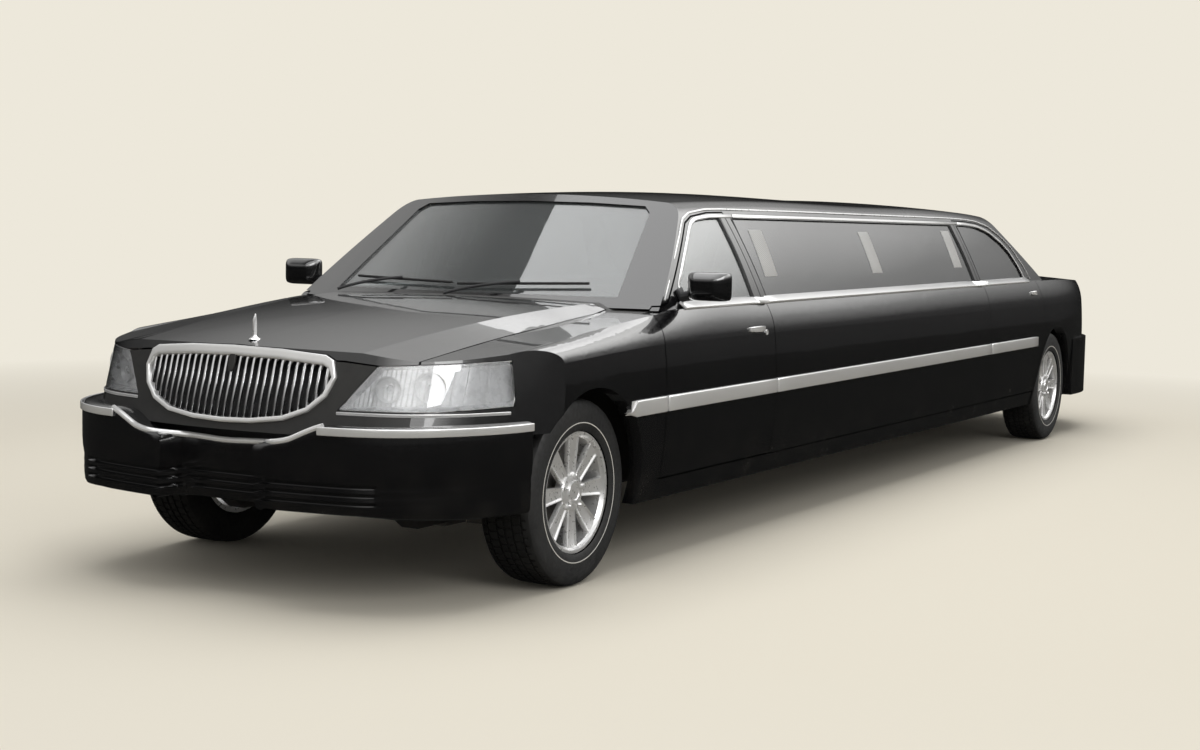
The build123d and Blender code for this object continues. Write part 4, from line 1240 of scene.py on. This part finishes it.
DRIVER_X, BENCH_PITCH = 0.395, 0.69
front = {
    "base": cushion("base", (DRIVER_X, fy(1.40), 0.47), (0.50, 0.50, 0.15)),
    "back": cushion("back", (DRIVER_X, fy(1.715), 0.755), (0.50, 0.10, 0.46), -0.22),
    "head": cushion("head", (DRIVER_X, fy(1.79), 0.985), (0.26, 0.07, 0.06), -0.2, 0.008),
}
for part, obj in front.items():
    pad_pair(obj, f"front_seat_{part}")
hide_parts("front_seats")
for side, way in SIDES:
    plinth(f"front_seat_plinth_{side}", (way * DRIVER_X, fy(1.43), 0.363), (0.44, 0.46, 0.062), 0.008,
           SOFT_BLACK)

bench = cushion("bench", (-0.57, fy(2.84), 0.545), (0.46, 0.66, 0.10))
bench_back = cushion("bench_back", (-0.745, fy(2.84), 0.79), (0.10, 0.66, 0.32))
benches = [(bench, bench_back)]
for i in (1, 2):
    along = (0, BENCH_PITCH * i, 0)
    benches.append((copied(bench, "bench_copy", along), copied(bench_back, "bench_back_copy", along)))
for i, (base, back) in enumerate(benches):
    pad(base, f"side_bench_cushion_{i + 1}")
    pad(back, f"side_bench_back_{i + 1}")
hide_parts("cabin_seats")
plinth("side_bench_plinth", (-0.565, fy(3.54), 0.41), (0.45, 2.06, 0.155), 0.01, LEATHER)
rear_base = cushion("rear_base", (0.325, fy(5.18), 0.53), (0.62, 0.36, 0.13))
rear_back = cushion("rear_back", (0.325, fy(5.46), 0.78), (0.62, 0.11, 0.40), -0.26)
pad_pair(rear_base, "rear_seat_cushion")
pad_pair(rear_back, "rear_seat_back")
plinth("rear_seat_plinth", (0, fy(5.18), 0.395), (1.26, 0.34, 0.125), 0.01, LEATHER)
for obj in FORMS:
    bpy.data.objects.remove(obj, do_unlink=True)

# ---------------------------------------------------------------- stage, light and camera
bpy.ops.mesh.primitive_circle_add(vertices=96, radius=60.0, fill_type="NGON", location=(0, 0, -0.0005))
floor = named("studio_floor")
settle(floor)
CREAM = rgb(0.847, 0.807, 0.708)
k = Kit("studio_floor")
away = k.node("ShaderNodeVectorMath", {"operation": "LENGTH"}, [k.place()], "Value")
lit = k.node("ShaderNodeBsdfDiffuse", {}, [rgb(0.78, 0.73, 0.62)])
pale = k.node("ShaderNodeEmission", {}, [CREAM])
dim = k.node("ShaderNodeEmission", {}, [rgb(0.016, 0.016, 0.015)])
ground = k.mix_shaders(k.fit(away, 4.5, 9.0, 0.0, 1.0), lit, pale)
k.feed(k.out.inputs[0], k.mix_shaders(k.light_path("Is Glossy Ray"), ground, dim))
floor.data.materials.append(k.mat)

# what the paint and chrome mirror, from below (0) to overhead (1); brighter on the car's left
SKY = ((0.0, 0.012), (0.08, 0.02), (0.15, 0.09), (0.22, 0.16), (0.35, 0.5), (0.5, 0.9), (0.68, 0.9),
       (0.8, 0.2), (1.0, 0.12))
world = bpy.data.worlds.new("studio")
bpy.context.scene.world = world
world.use_nodes = True
w = Net(world.node_tree)
look = w.node("ShaderNodeTexCoord", out="Generated")
across, upward = (w.node("ShaderNodeSeparateXYZ", {}, [look], axis) for axis in ("X", "Z"))
sky = w.node("ShaderNodeValToRGB", {"stops": [(at, rgb(v, v * 0.995, v * 0.98)) for at, v in SKY]}, [upward])
mirrored = w.node("ShaderNodeBackground", {}, [sky, w.fit(across, -0.1, 0.45, 0.75, 4.0)])
wash = w.node("ShaderNodeBackground", {}, [rgb(0.50, 0.50, 0.50)])
backdrop = w.node("ShaderNodeBackground", {}, [CREAM])
around = w.mix_shaders(w.light_path("Is Glossy Ray"), wash, mirrored)
world_out = w.tree.nodes.new("ShaderNodeOutputWorld")
w.feed(world_out.inputs[0], w.mix_shaders(w.light_path("Is Camera Ray"), around, backdrop))


def softbox(name, place, aim, size, power):
    data = bpy.data.lights.new(name, "AREA")
    data.shape = "RECTANGLE"
    data.size, data.size_y = size
    data.energy = power
    obj = bpy.data.objects.new(name, data)
    bpy.context.collection.objects.link(obj)
    obj.location = place
    obj.rotation_euler = (Vector(aim) - Vector(place)).to_track_quat("-Z", "Y").to_euler()


softbox("ceiling_softbox", (0, 0, 7.5), (0, 0, 0), (7.0, 13.0), 480)
softbox("side_softbox", (9.0, -8.0, 6.0), (0, -1.0, 0.6), (5.0, 5.0), 260)

CAMERA_AT = Vector((4.27445, -9.0269, 1.33003))
YAW, PITCH, ROLL = 0.516563629, 0.0811217, 0.0203755
FOCAL_PIXELS, FRAME_PIXELS, FILM = 1828.5, 1200, 36.0
level = Vector((-math.sin(YAW), math.cos(YAW), 0))
sideways = Vector((math.cos(YAW), math.sin(YAW), 0))
up = Vector((0, 0, 1))
ahead = level * math.cos(PITCH) - up * math.sin(PITCH)
tipped = level * math.sin(PITCH) + up * math.cos(PITCH)
right = sideways * math.cos(ROLL) + tipped * math.sin(ROLL)
top = tipped * math.cos(ROLL) - sideways * math.sin(ROLL)
camera = bpy.data.objects.new("camera", bpy.data.cameras.new("camera"))
bpy.context.collection.objects.link(camera)
camera.matrix_world = Matrix.Translation(CAMERA_AT) @ Matrix((right, top, -ahead)).transposed().to_4x4()
camera.data.sensor_width = FILM
camera.data.lens = FOCAL_PIXELS / FRAME_PIXELS * FILM
camera.data.clip_end = 200.0
bpy.context.scene.camera = camera
bpy.context.scene.view_settings.view_transform = "Standard"
